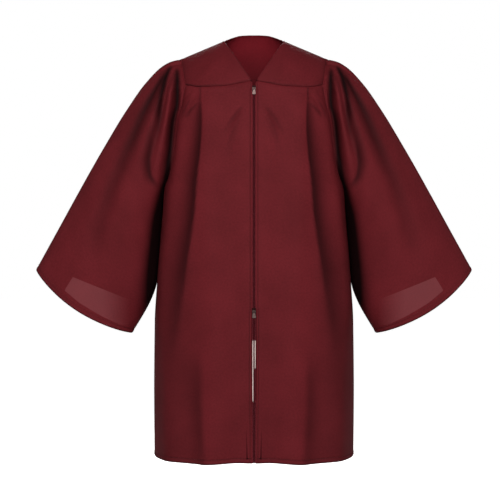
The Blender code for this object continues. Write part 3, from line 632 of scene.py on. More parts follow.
SLEEVE_BACK_FOLDS = {
    "groove beside the armhole": (
        (138, -66, 0, 6, 6),
        (141, -90, -5.0, 6, 7),
        (144, -125, -8.0, 8, 8),
        (150, -175, -8.0, 8, 8),
        (160, -235, -5.0, 8, 8),
        (170, -285, 0, 8, 8),
    ),
    "short pleat": (
        (141, -52, 0, 4, 4),
        (156, -76, -5.5, 5, 5),
        (167, -122, -8.0, 7, 7),
        (176, -170, -6.0, 8, 8),
        (189, -225, -3.5, 9, 8),
        (198, -275, 0, 9, 8),
    ),
    "long pleat": (
        (145, -46, 0, 4, 4),
        (170, -72, -6.0, 6, 6),
        (194, -122, -9.0, 9, 9),
        (218, -178, -8.5, 12, 11),
        (243, -236, -7.5, 14, 13),
        (268, -300, -6.0, 17, 15),
        (290, -362, -4.0, 19, 17),
        (304, -420, 0, 20, 18),
    ),
}

sleeve = columns_of(SLEEVE_COLUMNS, SLEEVE)
sleeve_closer = smooth(*zip(*SLEEVE_CLOSER))
print("the sleeve is", SLEEVE_LENGTH, "mm long with", len(SLEEVE_FRONT_FOLDS), "folds on its front")


# %% The sleeve's form
def along_line(line, shares):
    """Points at these shares of a line's length."""
    lengths = np.concatenate([[0], np.cumsum(np.linalg.norm(np.diff(line, axis=0), axis=1))])
    return np.stack([np.interp(shares * lengths[-1], lengths, line[:, i]) for i in range(3)], axis=-1)


def armhole_line(face, inset=0.0):
    """The armhole from the shoulder seam to the underarm, on the wearer's right, or a line inside its edge."""
    shares = np.linspace(0, 1, 40)
    top = SHOULDER_HALF_WIDTH - inset
    if face == "front":
        yoke = [front_yoke_point(top, YOKE_CORNER_OUT - inset, share) for share in shares]
    else:
        yoke = [back_yoke_point(top, YOKE_BACK_CORNER_OUT - inset, share) for share in shares]
    drop = np.linspace(0, 1, CURVE_STEPS)[1:]
    levels = yoke[-1][2] + (UNDERARM_LEVEL - yoke[-1][2]) * (1 - (1 - drop) ** 2)
    turns = armhole_turn(levels, face) - inset / ARMHOLE_RADIUS * (1 - drop**4)
    panel = panel_point(turns, levels - inset * drop**4, face)
    return np.concatenate([np.array(yoke), panel])


def sleeve_section(along, share):
    """The sleeve's form as seen from the front: a point between its outer and under edges."""
    edge = np.stack([sleeve["edge_x"](along), sleeve["edge_z"](along)])
    under = np.stack([sleeve["under_x"](along) + sleeve_closer(along), sleeve["under_z"](along)])
    across = under - edge
    outward = np.stack([across[1], -across[0]]) / np.linalg.norm(across, axis=0)
    return edge + across * share + outward * sleeve["swell"](along) * 4 * share * (1 - share)


armholes = {face: armhole_line(face) for face in ("front", "back")}


def sleeve_point(along, share, face):
    """A point of the sleeve, folds included. Along runs from the armhole to the cuff."""
    side = -1 if face == "front" else 1
    x, z = sleeve_section(along, share)
    bulge = 2 * np.sqrt(np.clip(share * (1 - share), 0, None))
    form = np.stack([x, side * sleeve["half_depth"](along) * bulge, z], axis=-1)
    start_x, start_z = sleeve_section(np.zeros_like(share), share)
    start = np.stack([start_x, side * sleeve["half_depth"](0.0) * bulge, start_z], axis=-1)
    seam = along_line(armholes[face], share) - np.array([SLEEVE_GAP, 0, 0])
    form = form + (seam - start) * ease(1 - along / SLEEVE_SEAM_REACH)[..., None]
    folds = SLEEVE_FRONT_FOLDS if face == "front" else SLEEVE_BACK_FOLDS
    height = sum(path_height(rows, -form[..., 0], form[..., 2]) for rows in folds.values())
    height = height * np.clip(bulge * SLEEVE_FOLD_SPREAD, 0, 1) * np.clip(along / SLEEVE_FOLD_START, 0, 1)
    form[..., 1] += side * height
    return form


# %% [markdown]
# Little light gets down into a narrow fold of dark cloth, less than a render with few light bounces
# shows. So each deep fold also gets painted shade: a soft stroke along its bottom, from 0 to 1, that
# darkens the cloth's colour there from every side. The strokes follow the folds and are sharp at a pleat's lip.

# %% The painted shade of the folds
FRONT_PAINTED_SHADES = {
    "seam of the tuck": (
        (97, -92, 0, 1.4, 1.2),
        (97, -96, 0.55, 1.4, 1.2),
        (97, -106, 0.55, 1.4, 1.2),
        (97, -113, 0.5, 1.6, 1.2),
    ),
    "behind the pleat": (
        (97, -110, 0, 3.6, 1.4),
        (96, -126, 0.5, 7, 1.6),
        (95.5, -147, 0.6, 11, 1.6),
        (95.6, -172, 0.66, 14, 1.8),
        (97.4, -208, 0.7, 17, 1.8),
        (102.8, -263, 0.72, 19.7, 2.1),
        (107.6, -319, 0.7, 21.4, 2.7),
        (114.4, -364, 0.68, 21.4, 3.2),
        (121.5, -408, 0.62, 21.4, 3.9),
        (127.8, -453, 0.5, 19.7, 4.5),
        (139.4, -521, 0.32, 16, 7),
        (146.5, -566, 0.14, 14.3, 8.9),
        (150, -592, 0, 14.3, 8.9),
    ),
    "behind the lower pleat": (
        (98, -557, 0, 14.3, 5.4),
        (98, -610, 0.3, 17.9, 6.3),
        (98, -660, 0.4, 19.7, 6.3),
        (96, -708, 0.4, 21.4, 7.1),
        (93, -748, 0.3, 21.4, 7.1),
    ),
    "between the lower pleats": (
        (25, -470, 0, 26, 40),
        (25, -530, 0.09, 26, 40),
        (25, -640, 0.1, 26, 40),
        (25, -763, 0.1, 26, 40),
    ),
    "under the neck crease": (
        (18, -128, 0, 1.8, 2.7),
        (27, -137, 0.28, 2.1, 5.4),
        (38, -151, 0.32, 2.7, 7.1),
        (46, -165, 0.22, 3.6, 7.1),
        (55, -181, 0, 3.6, 7.1),
    ),
    "under the second crease": (
        (23, -140, 0, 1.8, 3.6),
        (30, -156, 0.18, 2.7, 5.4),
        (39, -180, 0.22, 3.6, 7.1),
        (45, -201, 0.12, 3.6, 7.1),
        (50, -226, 0, 3.6, 7.1),
    ),
    "pucker by the pleat": (
        (100, -121, 0, 1.8, 1.8),
        (107, -128, 0.42, 1.8, 2.7),
        (116, -137, 0.42, 2.7, 3.6),
        (125, -151, 0, 2.7, 3.6),
    ),
    "pucker at the yoke corner": (
        (113, -113, 0, 1.8, 1.8),
        (120, -122, 0.36, 1.8, 2.7),
        (127, -135, 0.36, 2.7, 3.6),
        (132, -153, 0, 2.7, 3.6),
    ),
}
SLEEVE_PAINTED_SHADES = {
    "beside the armhole": (
        (143, -50, 0, 3, 3),
        (141, -62, 0.85, 5, 5),
        (139.5, -80, 1, 7, 5),
        (139, -102, 1, 7.5, 5),
        (140, -123, 1, 7.5, 5),
        (144.5, -139, 0.97, 6.5, 5),
        (149, -161, 0.98, 7, 6),
        (152, -197, 1, 8, 7),
        (157, -242, 1.1, 8.5, 8),
        (165, -288, 1.3, 11.5, 9),
        (173, -330, 1.5, 14, 10),
        (180, -387, 1.5, 15.6, 12),
        (183, -423, 1.5, 17, 12),
        (184, -450, 1.5, 19, 12),
        (185, -478, 1.5, 20, 11),
        (186, -506, 1.2, 20, 9),
        (187, -530, 0.7, 17, 9),
    ),
    "short hollow": (
        (152, -44, 0, 4, 3),
        (156, -55, 0.9, 6, 4),
        (161, -70, 1, 7.5, 5),
        (165, -90, 1, 7, 5),
        (169, -112, 0.93, 7, 5.5),
        (171, -137, 0.85, 9.5, 6),
        (173, -163, 0.6, 9.5, 6),
        (179, -192, 0.3, 8, 6),
        (183, -221, 0, 8, 6),
    ),
    "hooked hollow": (
        (177, -145, 0, 5, 3.6),
        (184, -176, 0.45, 9, 4.5),
        (188, -206, 0.68, 11, 4.5),
        (190, -228, 0.74, 12, 4),
        (188, -250, 0.7, 10, 3.6),
        (181, -264, 0.5, 7, 3.6),
        (174, -275, 0, 5.4, 3.6),
    ),
    "long hollow": (
        (163, -58, 0, 3.6, 3.6),
        (171, -76, 0.8, 6, 5),
        (183, -101, 0.85, 8, 6),
        (194, -123, 0.8, 10, 7.5),
        (206, -150, 0.72, 12, 8.5),
        (217, -179, 0.66, 13.5, 9.5),
        (229, -206, 0.58, 15, 10.5),
        (240, -233, 0.5, 16, 11),
        (253, -262, 0.42, 17, 11.5),
        (268, -306, 0.32, 18, 13),
        (282, -360, 0.2, 19, 15),
        (295, -409, 0, 19, 15),
    ),
}
SIDE_SHADE = 0.30
BACK_PAINTED_SHADE_DEPTH = 13.0


def painted_shade_share(strokes, out, level):
    """How much painted shade each point gets, from 0 to 1, where strokes may cross."""
    lit = np.ones(out.shape)
    for rows in strokes.values():
        lit = lit * (1 - np.clip(path_height(rows, out, level), 0, 1))
    return 1 - lit


def side_share(out, level):
    """Painted shade on the sides of the skirt, which turn away from the light."""
    return SIDE_SHADE * ease((out - 86) / 74) * ease((-level - 300) / 160)


print(len(FRONT_PAINTED_SHADES), "hollows on a front and", len(SLEEVE_PAINTED_SHADES), "on the front of a sleeve")

# %% [markdown]
# Each sheet of cloth starts as a grid of points on the form. Then the sewing is pressed into it: the
# cloth rolls under at a seam, swells over a turned hem, and sinks along a line of stitches. These are
# small heights along the surface's own normal, so the same few rules serve every piece. A little slow
# noise keeps the cloth from looking like pressed metal.


# %% Distances, normals and slow ripples on a grid
def normals_of(grid):
    """The outward normal at each point of a grid whose rows go down and whose columns go round."""
    across = np.gradient(grid, axis=1)
    down = np.gradient(grid, axis=0)
    normal = np.cross(across, down)
    return normal / np.maximum(np.linalg.norm(normal, axis=-1, keepdims=True), 1e-9)


def distances_of(grid):
    """How far each point is from the first column and from the first row, along the cloth."""
    across = np.linalg.norm(np.diff(grid, axis=1), axis=-1)
    down = np.linalg.norm(np.diff(grid, axis=0), axis=-1)
    across = np.concatenate([np.zeros((len(grid), 1)), np.cumsum(across, axis=1)], axis=1)
    down = np.concatenate([np.zeros((1, grid.shape[1])), np.cumsum(down, axis=0)], axis=0)
    return across, down


def ripples(u, v, seed, width, length):
    """Slow noise from -1 to 1. Width and length are the size of its swells in millimetres."""
    lattice = np.random.default_rng(seed).uniform(-1, 1, (64, 64))
    x, y = u / width + 9.3, v / length + 5.7
    x0, y0 = np.floor(x).astype(int), np.floor(y).astype(int)
    x1, y1 = ease(x - x0), ease(y - y0)
    value = 0
    for i, wx in ((0, 1 - x1), (1, x1)):
        for j, wy in ((0, 1 - y1), (1, y1)):
            value = value + lattice[(x0 + i) % 64, (y0 + j) % 64] * wx * wy
    return value


SEAM_ROLL = 0.9
SEAM_ROLL_WIDTH = 1.5
STITCH_SINK = 0.45
STITCH_SINK_WIDTH = 0.9
HEM_SWELL = 0.45
EDGE_SHADE = 0.75
EDGE_SHADE_WIDTH = 1.7
STITCH_SHADE = 0.32


def roll_under(distance, depth=SEAM_ROLL):
    """The cloth turns down into a seam."""
    return -depth * np.exp(-((distance / SEAM_ROLL_WIDTH) ** 2))


def edge_shade(distance, stitch, edge=EDGE_SHADE):
    """The shade of a fold's very edge and of the line where its stitches pull the cloth down."""
    at_edge = edge * np.exp(-((distance / EDGE_SHADE_WIDTH) ** 2))
    return np.maximum(at_edge, STITCH_SHADE * np.exp(-(((distance - stitch) / STITCH_SINK_WIDTH) ** 2)))


def deeper_of(one, other):
    """Two shades on top of each other."""
    return 1 - (1 - one) * (1 - other)


def stitched_edge(distance, stitch):
    """A turned edge: it swells between its fold and the line of stitches, and sinks at the stitches."""
    swell = HEM_SWELL * ease(distance / 1.5) * ease((stitch - distance) / 2.5)
    return swell - STITCH_SINK * np.exp(-(((distance - stitch) / STITCH_SINK_WIDTH) ** 2))


# %% [markdown]
# The colour values are picked as sRGB hex codes, as in a paint program. Blender works in linear light,
# so one function turns them over. A second small function adds a shader node with its settings and links.


# %% Colours and shader nodes
def linear(code):
    channels = [int(code[i : i + 2], 16) / 255 for i in (0, 2, 4)]
    return [((c + 0.055) / 1.055) ** 2.4 if c > 0.04045 else c / 12.92 for c in channels] + [1.0]


def add_node(tree, kind, links=None, values=None, **settings):
    """A node with its settings, its links and its fixed values, both given by socket name or number."""
    made = tree.nodes.new(kind)
    for name, value in settings.items():
        setattr(made, name, value)
    for socket, value in (values or {}).items():
        made.inputs[socket].default_value = value
    for socket, source in (links or {}).items():
        tree.links.new(source, made.inputs[socket])
    return made


def new_material(name):
    made = bpy.data.materials.new(name)
    made.use_nodes = True
    return made, made.node_tree, made.node_tree.nodes["Principled BSDF"]


# %% [markdown]
# The gown is plain-woven polyester, piece-dyed maroon and pressed matte. The eye gets a soft, even red
# with hardly any gloss, a faint grain where warp crosses weft, and small uneven places where the cloth
# has been handled. The threads are 0.3 mm apart, which no picture of a whole gown can show, so the weave
# is drawn at 0.9 mm.

# %% The maroon cloth
MAROON_LIT = "681d23"
MAROON_DEEP = "5b181d"
# Near black, for the painted shade at the bottom of deep folds.
PAINTED_SHADE_DARK = "120203"
# Lighter reds for the inner face of the back yoke, a painted glow.
INNER_LIT = "851f29"
INNER_DEEP = "761a23"
# A painted glow near the cuffs: its colour, and how strong it is, fading to none towards the body.
PAINTED_CUFF_GLOW = "9a5c60"
CUFF_GLOW_STRENGTH = 0.25
CUFF_GLOW_FADED = 0.0
WEAVE_PITCH = 0.9
cloth, tree, shader = new_material("Maroon plain-woven polyester")
surface = add_node(tree, "ShaderNodeUVMap", uv_map="cloth")
threads = add_node(
    tree, "ShaderNodeMapping", {"Vector": surface.outputs[0]}, {"Scale": (1 / (WEAVE_PITCH * MM),) * 3}
)
axes = add_node(tree, "ShaderNodeSeparateXYZ", {0: threads.outputs[0]})
waves = []
for axis in ("X", "Y"):
    turns = add_node(
        tree, "ShaderNodeMath", {0: axes.outputs[axis]}, {1: 2 * math.pi}, operation="MULTIPLY"
    )
    waves.append(add_node(tree, "ShaderNodeMath", {0: turns.outputs[0]}, operation="SINE"))
weave = add_node(tree, "ShaderNodeMath", {0: waves[0].outputs[0], 1: waves[1].outputs[0]}, operation="MULTIPLY")
slubs = add_node(
    tree, "ShaderNodeTexNoise", {"Vector": surface.outputs[0]}, {"Scale": 260.0, "Detail": 3.0, "Roughness": 0.6}
)
handled = add_node(
    tree, "ShaderNodeTexNoise", {"Vector": surface.outputs[0]}, {"Scale": 14.0, "Detail": 2.0, "Roughness": 0.5}
)
shades = add_node(
    tree, "ShaderNodeMath", {0: slubs.outputs[0], 1: handled.outputs[0]}, operation="ADD"
)
spread = add_node(
    tree, "ShaderNodeMapRange", {0: shades.outputs[0]}, {1: 0.75, 2: 1.25, 3: 0.0, 4: 1.0}
)
colour = add_node(
    tree,
    "ShaderNodeMix",
    {0: spread.outputs[0]},
    {6: linear(MAROON_DEEP), 7: linear(MAROON_LIT)},
    data_type="RGBA",
)
# Painted shade: the attribute below mixes the colour towards near black in folds, at seams and at edges.
painted_shade = add_node(tree, "ShaderNodeAttribute", attribute_name="painted_shade")
deepened = add_node(
    tree,
    "ShaderNodeMix",
    {0: painted_shade.outputs["Fac"], 6: colour.outputs[2]},
    {7: linear(PAINTED_SHADE_DARK)},
    data_type="RGBA",
)
# Painted light: a lighter red on a patch of each sleeve's front near the cuff, for light that comes through one layer
# of cloth. It is stronger towards the sleeve's outer side.
panel = add_node(tree, "ShaderNodeAttribute", attribute_name="cuff_painted_glow")
inside_cuff_glow = add_node(tree, "ShaderNodeMapRange", {0: panel.outputs["Fac"]}, {1: 0.0, 2: 0.9})
place = add_node(tree, "ShaderNodeTexCoord")
place_axes = add_node(tree, "ShaderNodeSeparateXYZ", {0: place.outputs["Object"]})
sideways = add_node(tree, "ShaderNodeMath", {0: place_axes.outputs["X"]}, operation="ABSOLUTE")
fading = add_node(
    tree, "ShaderNodeMapRange", {0: sideways.outputs[0]}, {1: 0.228, 2: 0.275, 3: CUFF_GLOW_FADED, 4: CUFF_GLOW_STRENGTH}
)
cuff_glow_share = add_node(
    tree, "ShaderNodeMath", {0: inside_cuff_glow.outputs[0], 1: fading.outputs[0]}, operation="MULTIPLY"
)
with_painted_glow = add_node(
    tree,
    "ShaderNodeMix",
    {0: cuff_glow_share.outputs[0], 6: deepened.outputs[2]},
    {7: linear(PAINTED_CUFF_GLOW)},
    data_type="RGBA",
)
tree.links.new(with_painted_glow.outputs[2], shader.inputs["Base Color"])
grain = add_node(tree, "ShaderNodeMath", {0: weave.outputs[0], 1: slubs.outputs[0]}, operation="ADD")
bump = add_node(tree, "ShaderNodeBump", {"Height": grain.outputs[0]}, {"Strength": 0.12, "Distance": 0.15 * MM})
tree.links.new(bump.outputs[0], shader.inputs["Normal"])
shader.inputs["Roughness"].default_value = 0.72
shader.inputs["Specular IOR Level"].default_value = 0.08
shader.inputs["Sheen Weight"].default_value = 0.01
shader.inputs["Sheen Roughness"].default_value = 0.4
shader.inputs["Sheen Tint"].default_value = linear("b05a60")
print("cloth:", len(tree.nodes), "nodes, weave drawn at", WEAVE_PITCH, "mm")

# %% [markdown]
# The inner face of the back yoke is seen through the neck. It is one layer of cloth in front of the
# light, so it gets a painted glow: a lighter red with the same weave. Lower down it lies deeper inside
# the gown, and painted shade darkens it.

# %% The inner face, the thread, the zip's materials
inner_cloth = cloth.copy()
inner_cloth.name = "Maroon polyester with light behind it"
tree = inner_cloth.node_tree
base_mix = next(node for node in tree.nodes if node.type == "MIX" and not node.inputs[6].is_linked)
# Painted light: the inner face gets the lighter reds.
base_mix.inputs[6].default_value = linear(INNER_DEEP)
base_mix.inputs[7].default_value = linear(INNER_LIT)
inner_shader = tree.nodes["Principled BSDF"]
face_colour = inner_shader.inputs["Base Color"].links[0].from_socket
place = add_node(tree, "ShaderNodeTexCoord")
place_axes = add_node(tree, "ShaderNodeSeparateXYZ", {0: place.outputs["Object"]})
# Painted shade: the inner face darkens towards its bottom.
deeper = add_node(tree, "ShaderNodeMapRange", {0: place_axes.outputs["Z"]}, {1: -0.07, 2: 0.0, 3: 0.6, 4: 0.0})
shaded = add_node(
    tree, "ShaderNodeMix", {0: deeper.outputs[0], 6: face_colour}, {7: linear(PAINTED_SHADE_DARK)}, data_type="RGBA"
)
tree.links.new(shaded.outputs[2], inner_shader.inputs["Base Color"])
thread, tree, shader = new_material("Maroon polyester thread")
shader.inputs["Base Color"].default_value = linear("4e1318")
shader.inputs["Roughness"].default_value = 0.5
shader.inputs["Specular IOR Level"].default_value = 0.25


def ribbed(name, light, dark, pitch, roughness, gloss=0.25):
    """A woven or coiled finish: fine ribs along Z that change its colour and its bump."""
    made, tree, shader = new_material(name)
    place = add_node(tree, "ShaderNodeTexCoord")
    parts = add_node(tree, "ShaderNodeSeparateXYZ", {0: place.outputs["Object"]})
    turns = add_node(
        tree, "ShaderNodeMath", {0: parts.outputs["Z"]}, {1: 2 * math.pi / (pitch * MM)}, operation="MULTIPLY"
    )
    rib = add_node(tree, "ShaderNodeMath", {0: turns.outputs[0]}, operation="SINE")
    share = add_node(tree, "ShaderNodeMapRange", {0: rib.outputs[0]}, {1: -1.0, 2: 1.0})
    shade = add_node(
        tree, "ShaderNodeMix", {0: share.outputs[0]}, {6: linear(dark), 7: linear(light)}, data_type="RGBA"
    )
    tree.links.new(shade.outputs[2], shader.inputs["Base Color"])
    bump = add_node(tree, "ShaderNodeBump", {"Height": rib.outputs[0]}, {"Strength": 0.2, "Distance": 0.1 * MM})
    tree.links.new(bump.outputs[0], shader.inputs["Normal"])
    shader.inputs["Roughness"].default_value = roughness
    shader.inputs["Specular IOR Level"].default_value = gloss
    return made


TAPE_RIB = 1.1
COIL_RIB = 0.45
# The tape's near-black red is painted shade, for the deep slit between the fronts where it lies.
tape = ribbed("Woven polyester zip tape", "220609", "180406", TAPE_RIB, 0.85, 0.05)
# The coil is dyed maroon, lifted to a lighter red than the cloth as painted light against the shade it sits in.
coil = ribbed("Dyed nylon coil", "842c35", "6a222b", COIL_RIB, 0.5, 0.1)
# Painted light: a near-white coil that stands for the light seen through where the zip parts.
coil_painted_light = ribbed("Nylon coil with painted light", "ffe6e0", "fbdcd5", COIL_RIB, 0.45)



def cast_zinc(name, dark, light, roughness):
    """Cast zinc with small uneven places of wear."""
    made, tree, shader = new_material(name)
    place = add_node(tree, "ShaderNodeTexCoord")
    wear = add_node(tree, "ShaderNodeTexNoise", {"Vector": place.outputs["Object"]}, {"Scale": 900.0, "Detail": 2.0})
    shade = add_node(
        tree, "ShaderNodeMix", {0: wear.outputs[0]}, {6: linear(dark), 7: linear(light)}, data_type="RGBA"
    )
    tree.links.new(shade.outputs[2], shader.inputs["Base Color"])
    shader.inputs["Metallic"].default_value = 1.0
    shader.inputs["Roughness"].default_value = roughness
    return made


bright_zinc = cast_zinc("Plated cast zinc", "5e4b48", "7c6864", 0.4)
dark_zinc = cast_zinc("Painted cast zinc", "231112", "331c1c", 0.55)
print("thread, tape, two coils and two kinds of zinc are ready")

# %% [markdown]
# A sheet of cloth is a grid of points turned into a mesh. Its UV map holds real distances along the
# cloth, so a weave that is drawn on it keeps its size. A Solidify modifier gives the thickness inwards,
# and a vertex group makes the turned hems thicker.

# %% Grid to cloth
CLOTH_THICKNESS = 1.1
HEM_THICKNESS = 2.0


def make_cloth(name, grid, replaced, painted_shade, allowance, closed=False, hem_from=None, panel=None, inner=None):
    """One sheet of cloth from its outer surface, in millimetres. The allowance is for its hems and seams."""
    rows, columns = grid.shape[:2]
    ring = np.concatenate([grid, grid[:, :1]], axis=1) if closed else grid
    across, down = distances_of(ring)
    down = np.broadcast_to(down.mean(axis=1, keepdims=True), down.shape)
    index = np.arange(rows * columns).reshape(rows, columns)
    step = np.arange(columns if closed else columns - 1)
    after = (step + 1) % columns
    quads = np.stack([index[:-1, step], index[:-1, after], index[1:, after], index[1:, step]], axis=-1)
    mesh = bpy.data.meshes.new(name)
    mesh.from_pydata((grid.reshape(-1, 3) * MM).tolist(), [], quads.reshape(-1, 4).tolist())
    corner = np.stack(
        [
            np.stack([across[:-1, :-1], across[:-1, 1:], across[1:, 1:], across[1:, :-1]], axis=-1),
            np.stack([down[:-1, :-1], down[:-1, 1:], down[1:, 1:], down[1:, :-1]], axis=-1),
        ],
        axis=-1,
    )
    layer = mesh.uv_layers.new(name="cloth")
    layer.data.foreach_set("uv", (corner * MM).astype(np.float32).reshape(-1))
    # Painted shade, from 0 to 1, is stored on the points for the material to read.
    depth = mesh.attributes.new("painted_shade", "FLOAT", "POINT")
    depth.data.foreach_set("value", np.asarray(painted_shade, np.float32).reshape(-1))
    mesh.shade_smooth()
    mesh.materials.append(cloth)
    # Painted light near the cuffs: how far inside the glowing patch each point lies.
    if panel is not None:
        inside = mesh.attributes.new("cuff_painted_glow", "FLOAT", "POINT")
        inside.data.foreach_set("value", np.asarray(panel, np.float32).reshape(-1))
    piece = bpy.data.objects.new(name, mesh)
    bpy.context.scene.collection.objects.link(piece)
    wall = piece.modifiers.new("Thickness", "SOLIDIFY")
    wall.offset = -1
    wall.thickness = CLOTH_THICKNESS * MM
    if inner is not None:
        mesh.materials.append(inner)
        wall.material_offset = 1
    if hem_from is not None:
        hem = piece.vertex_groups.new(name="Hem")
        hem.add([int(i) for i in index[hem_from:].reshape(-1)], 1.0, "REPLACE")
        wall.thickness = HEM_THICKNESS * MM
        wall.vertex_group = hem.name
        wall.thickness_vertex_group = CLOTH_THICKNESS / HEM_THICKNESS
    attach(piece, "gown")
    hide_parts(replaced)
    width = across[:, -1].max() * MM + allowance[0] * MM
    length = down[-1].max() * MM + allowance[1] * MM
    area = surface_area(grid, closed) + (allowance[0] * length + allowance[1] * width * 0.8) * MM
    area = min(area, width * length)
    print(name, rows, "x", columns, "points, cut", round(width, 3), "x", round(length, 3), "m,", round(area, 4), "m2")
    return piece


def surface_area(grid, closed):
    ring = np.concatenate([grid, grid[:, :1]], axis=1) if closed else grid
    a, b, c, d = ring[:-1, :-1], ring[:-1, 1:], ring[1:, 1:], ring[1:, :-1]
    area = np.linalg.norm(np.cross(b - a, c - a), axis=-1) + np.linalg.norm(np.cross(c - a, d - a), axis=-1)
    return float(area.sum()) / 2 * MM * MM


SEAM_OVERLAP = 0.8
SEAM_DEPTH = 2.4
# How much painted shade the tucked seam allowances get.
SEAM_PAINTED_SHADE = 0.9
TOP_OVERLAP = 4.0
TOP_DEPTH = 1.7
BACK_TOP_DEPTH = 0.4


def tucked(grid, dark, first=False, depth=TOP_DEPTH):
    """The sheet with its seam allowances: one row up under the yoke, and a column in at each side seam. Both get
    painted shade, near black, where the seams hide them.
    """
    for edge, inner, wanted in ((-1, -2, True), (0, 1, first)):
        if wanted:
            normal = normals_of(grid)[:, edge]
            way = grid[:, edge] - grid[:, inner]
            way = way / np.linalg.norm(way, axis=-1, keepdims=True)
            column = (grid[:, edge] + way * SEAM_OVERLAP - normal * SEAM_DEPTH)[:, None]
            shade = np.full((len(grid), 1), SEAM_PAINTED_SHADE)
            grid = np.concatenate([grid, column] if edge else [column, grid], axis=1)
            dark = np.concatenate([dark, shade] if edge else [shade, dark], axis=1)
    way = grid[:1] - grid[1:2]
    way = way / np.linalg.norm(way, axis=-1, keepdims=True)
    row = grid[:1] + way * TOP_OVERLAP - normals_of(grid)[:1] * depth
    return np.concatenate([row, grid]), np.concatenate([np.full((1, dark.shape[1]), SEAM_PAINTED_SHADE), dark])


def mirrored(grid):
    """The same piece on the wearer's left, its columns turned round so that it still faces out."""
    return grid[:, ::-1] * np.array([-1, 1, 1])


# %% [markdown]
# A front is cut straight down the zip, curved at the armhole, and hangs in a pressed pleat from the
# yoke. Its columns are close together where the stitching beside the zip sinks into it, and at the
# armhole. Its rows are close together at the yoke seam and the hem.

# %% Rows and columns of the body
ZIP_STITCH = 3.9
HEM_STITCH = 8.5
TUCK_RISE = 3.0
TUCK_SINK = 1.5
ZIP_COLUMNS = (0, 0.35, 0.9, 1.8, 2.8, 3.4, 3.9, 4.4, 5.2, 6.6, 8.6)
EDGE_SHARES = (0.978, 0.986, 0.992, 0.9965, 1.0)
TOP_SHARES = (0.0, 0.03, 0.07, 0.13, 0.2, 0.28, 0.37, 0.46, 0.55, 0.64, 0.73, 0.82, 0.91)
HEM_RISES = (14, 12, 10.2, 9.3, 8.5, 7.7, 6.5, 4.5, 2.5, 1.2, 0.4, 0)
TOP_LEVEL = -118
SIDE_MARGIN = math.radians(0.05)
level_rows = np.concatenate([np.arange(TOP_LEVEL, HEM_LEVEL + 16, -3.3), HEM_LEVEL + np.array(HEM_RISES)])
print(len(level_rows), "rows below the yoke")


def hem_dip(out):
    return HEM_DIP * np.exp(-(((np.abs(out) - HEM_DIP_OUT) / HEM_DIP_WIDTH) ** 2))


def spread_turns(first, last, level, shares):
    """Angles of a row's columns. Only the outer columns follow the armhole where it turns to the side."""
    steady = np.radians(steady_turn(level))
    return first + (steady - first) * shares + (last - steady) * shares**ARMHOLE_PULL


def panel_rows(face, seam, corner_out, first_out, shares):
    """Turns and levels of a panel: curved rows under the yoke seam, then level rows down to the hem."""
    turns, levels = [], []
    outs = first_out(-95.0) + (corner_out - first_out(-95.0)) * shares
    seam_levels = seam(outs) - SEAM_GAP / 2
    seam_turns = turn_at(outs, seam_levels)
    level = float(TOP_LEVEL)
    first, last = turn_at(first_out(level), level), armhole_turn(level, face)
    straight = spread_turns(first, last, level, shares)
    for way in TOP_SHARES:
        row = seam_levels + (TOP_LEVEL - seam_levels) * way
        turned = seam_turns + (straight - seam_turns) * way
        turned = turned + (armhole_turn(row[-1], face) - turned[-1]) * shares**ARMHOLE_PULL
        turns.append(turned)
        levels.append(row)
    for level in level_rows:
        last = armhole_turn(level, face)
        turns.append(spread_turns(turn_at(first_out(level), level), last, level, shares))
        levels.append(np.full(len(shares), float(level)))
    return np.minimum(turns, math.pi / 2 - SIDE_MARGIN), np.array(levels)


# %% The two fronts
front_shares = np.concatenate([np.linspace(0, 0.97, 54), EDGE_SHARES])
turns, levels = panel_rows(
    "front", yoke_seam, YOKE_CORNER_OUT, lambda level: ZIP_LIP + ZIP_COLUMNS[-1] + zip_parting(level), front_shares
)
zip_outs = ZIP_LIP + zip_parting(levels[:, :1]) + np.array(ZIP_COLUMNS[:-1])
zip_levels = np.broadcast_to(levels[:, :1], zip_outs.shape).copy()
notch = np.interp(zip_outs, (ZIP_LIP, 7.0), (-87.0, -82.7))
for row, way in enumerate(TOP_SHARES):
    zip_levels[row] = notch[row] + (TOP_LEVEL - notch[row]) * way
turns = np.concatenate([turn_at(zip_outs, zip_levels), turns], axis=1)
levels = np.concatenate([zip_levels, levels], axis=1)
front_grid = panel_point(turns, levels, "front")
front_grid[..., 2] -= hem_dip(front_grid[..., 0]) * ease((HEM_LEVEL + 70 - levels) / 70)
across, down = distances_of(front_grid)
to_side = across[:, -1:] - across
to_hem = down[-1:] - down
detail = roll_under(across, 0.35) + stitched_edge(across, ZIP_STITCH) + roll_under(to_side)
detail += stitched_edge(to_hem, HEM_STITCH) + roll_under(to_hem, 0.5)
under_yoke = ease((across - 3.5) / 2.0)
detail -= TUCK_SINK * np.exp(-((down / 2.2) ** 2)) * under_yoke
calm = ease(across / 25) * ease(down / 15)
detail += 0.7 * ripples(across, down, 3, 34, 170) * calm + 0.25 * ripples(across, down, 4, 15, 60) * calm
# Painted shade of a front: its fold strokes, its sides, the edge of its hem and the stitches beside the zip.
front_painted_shade = painted_shade_share(FRONT_PAINTED_SHADES, -front_grid[..., 0], front_grid[..., 2])
front_painted_shade = deeper_of(front_painted_shade, side_share(-front_grid[..., 0], front_grid[..., 2]))
front_painted_shade = deeper_of(front_painted_shade, edge_shade(to_hem, HEM_STITCH))
front_painted_shade = deeper_of(front_painted_shade, edge_shade(across, ZIP_STITCH, 0.0))
front_grid = front_grid + normals_of(front_grid) * detail[..., None]
front_cut = (24, 28)
sewn, dark = tucked(front_grid, front_painted_shade)
front_right = make_cloth("front_right_cloth", sewn, "front_right", dark, front_cut, hem_from=-9)
front_left = make_cloth("front_left_cloth", mirrored(sewn), "front_left", dark[:, ::-1], front_cut, hem_from=-9)

# %% [markdown]
# The back is one piece, from side seam to side seam, with three pleats on each side of its middle.

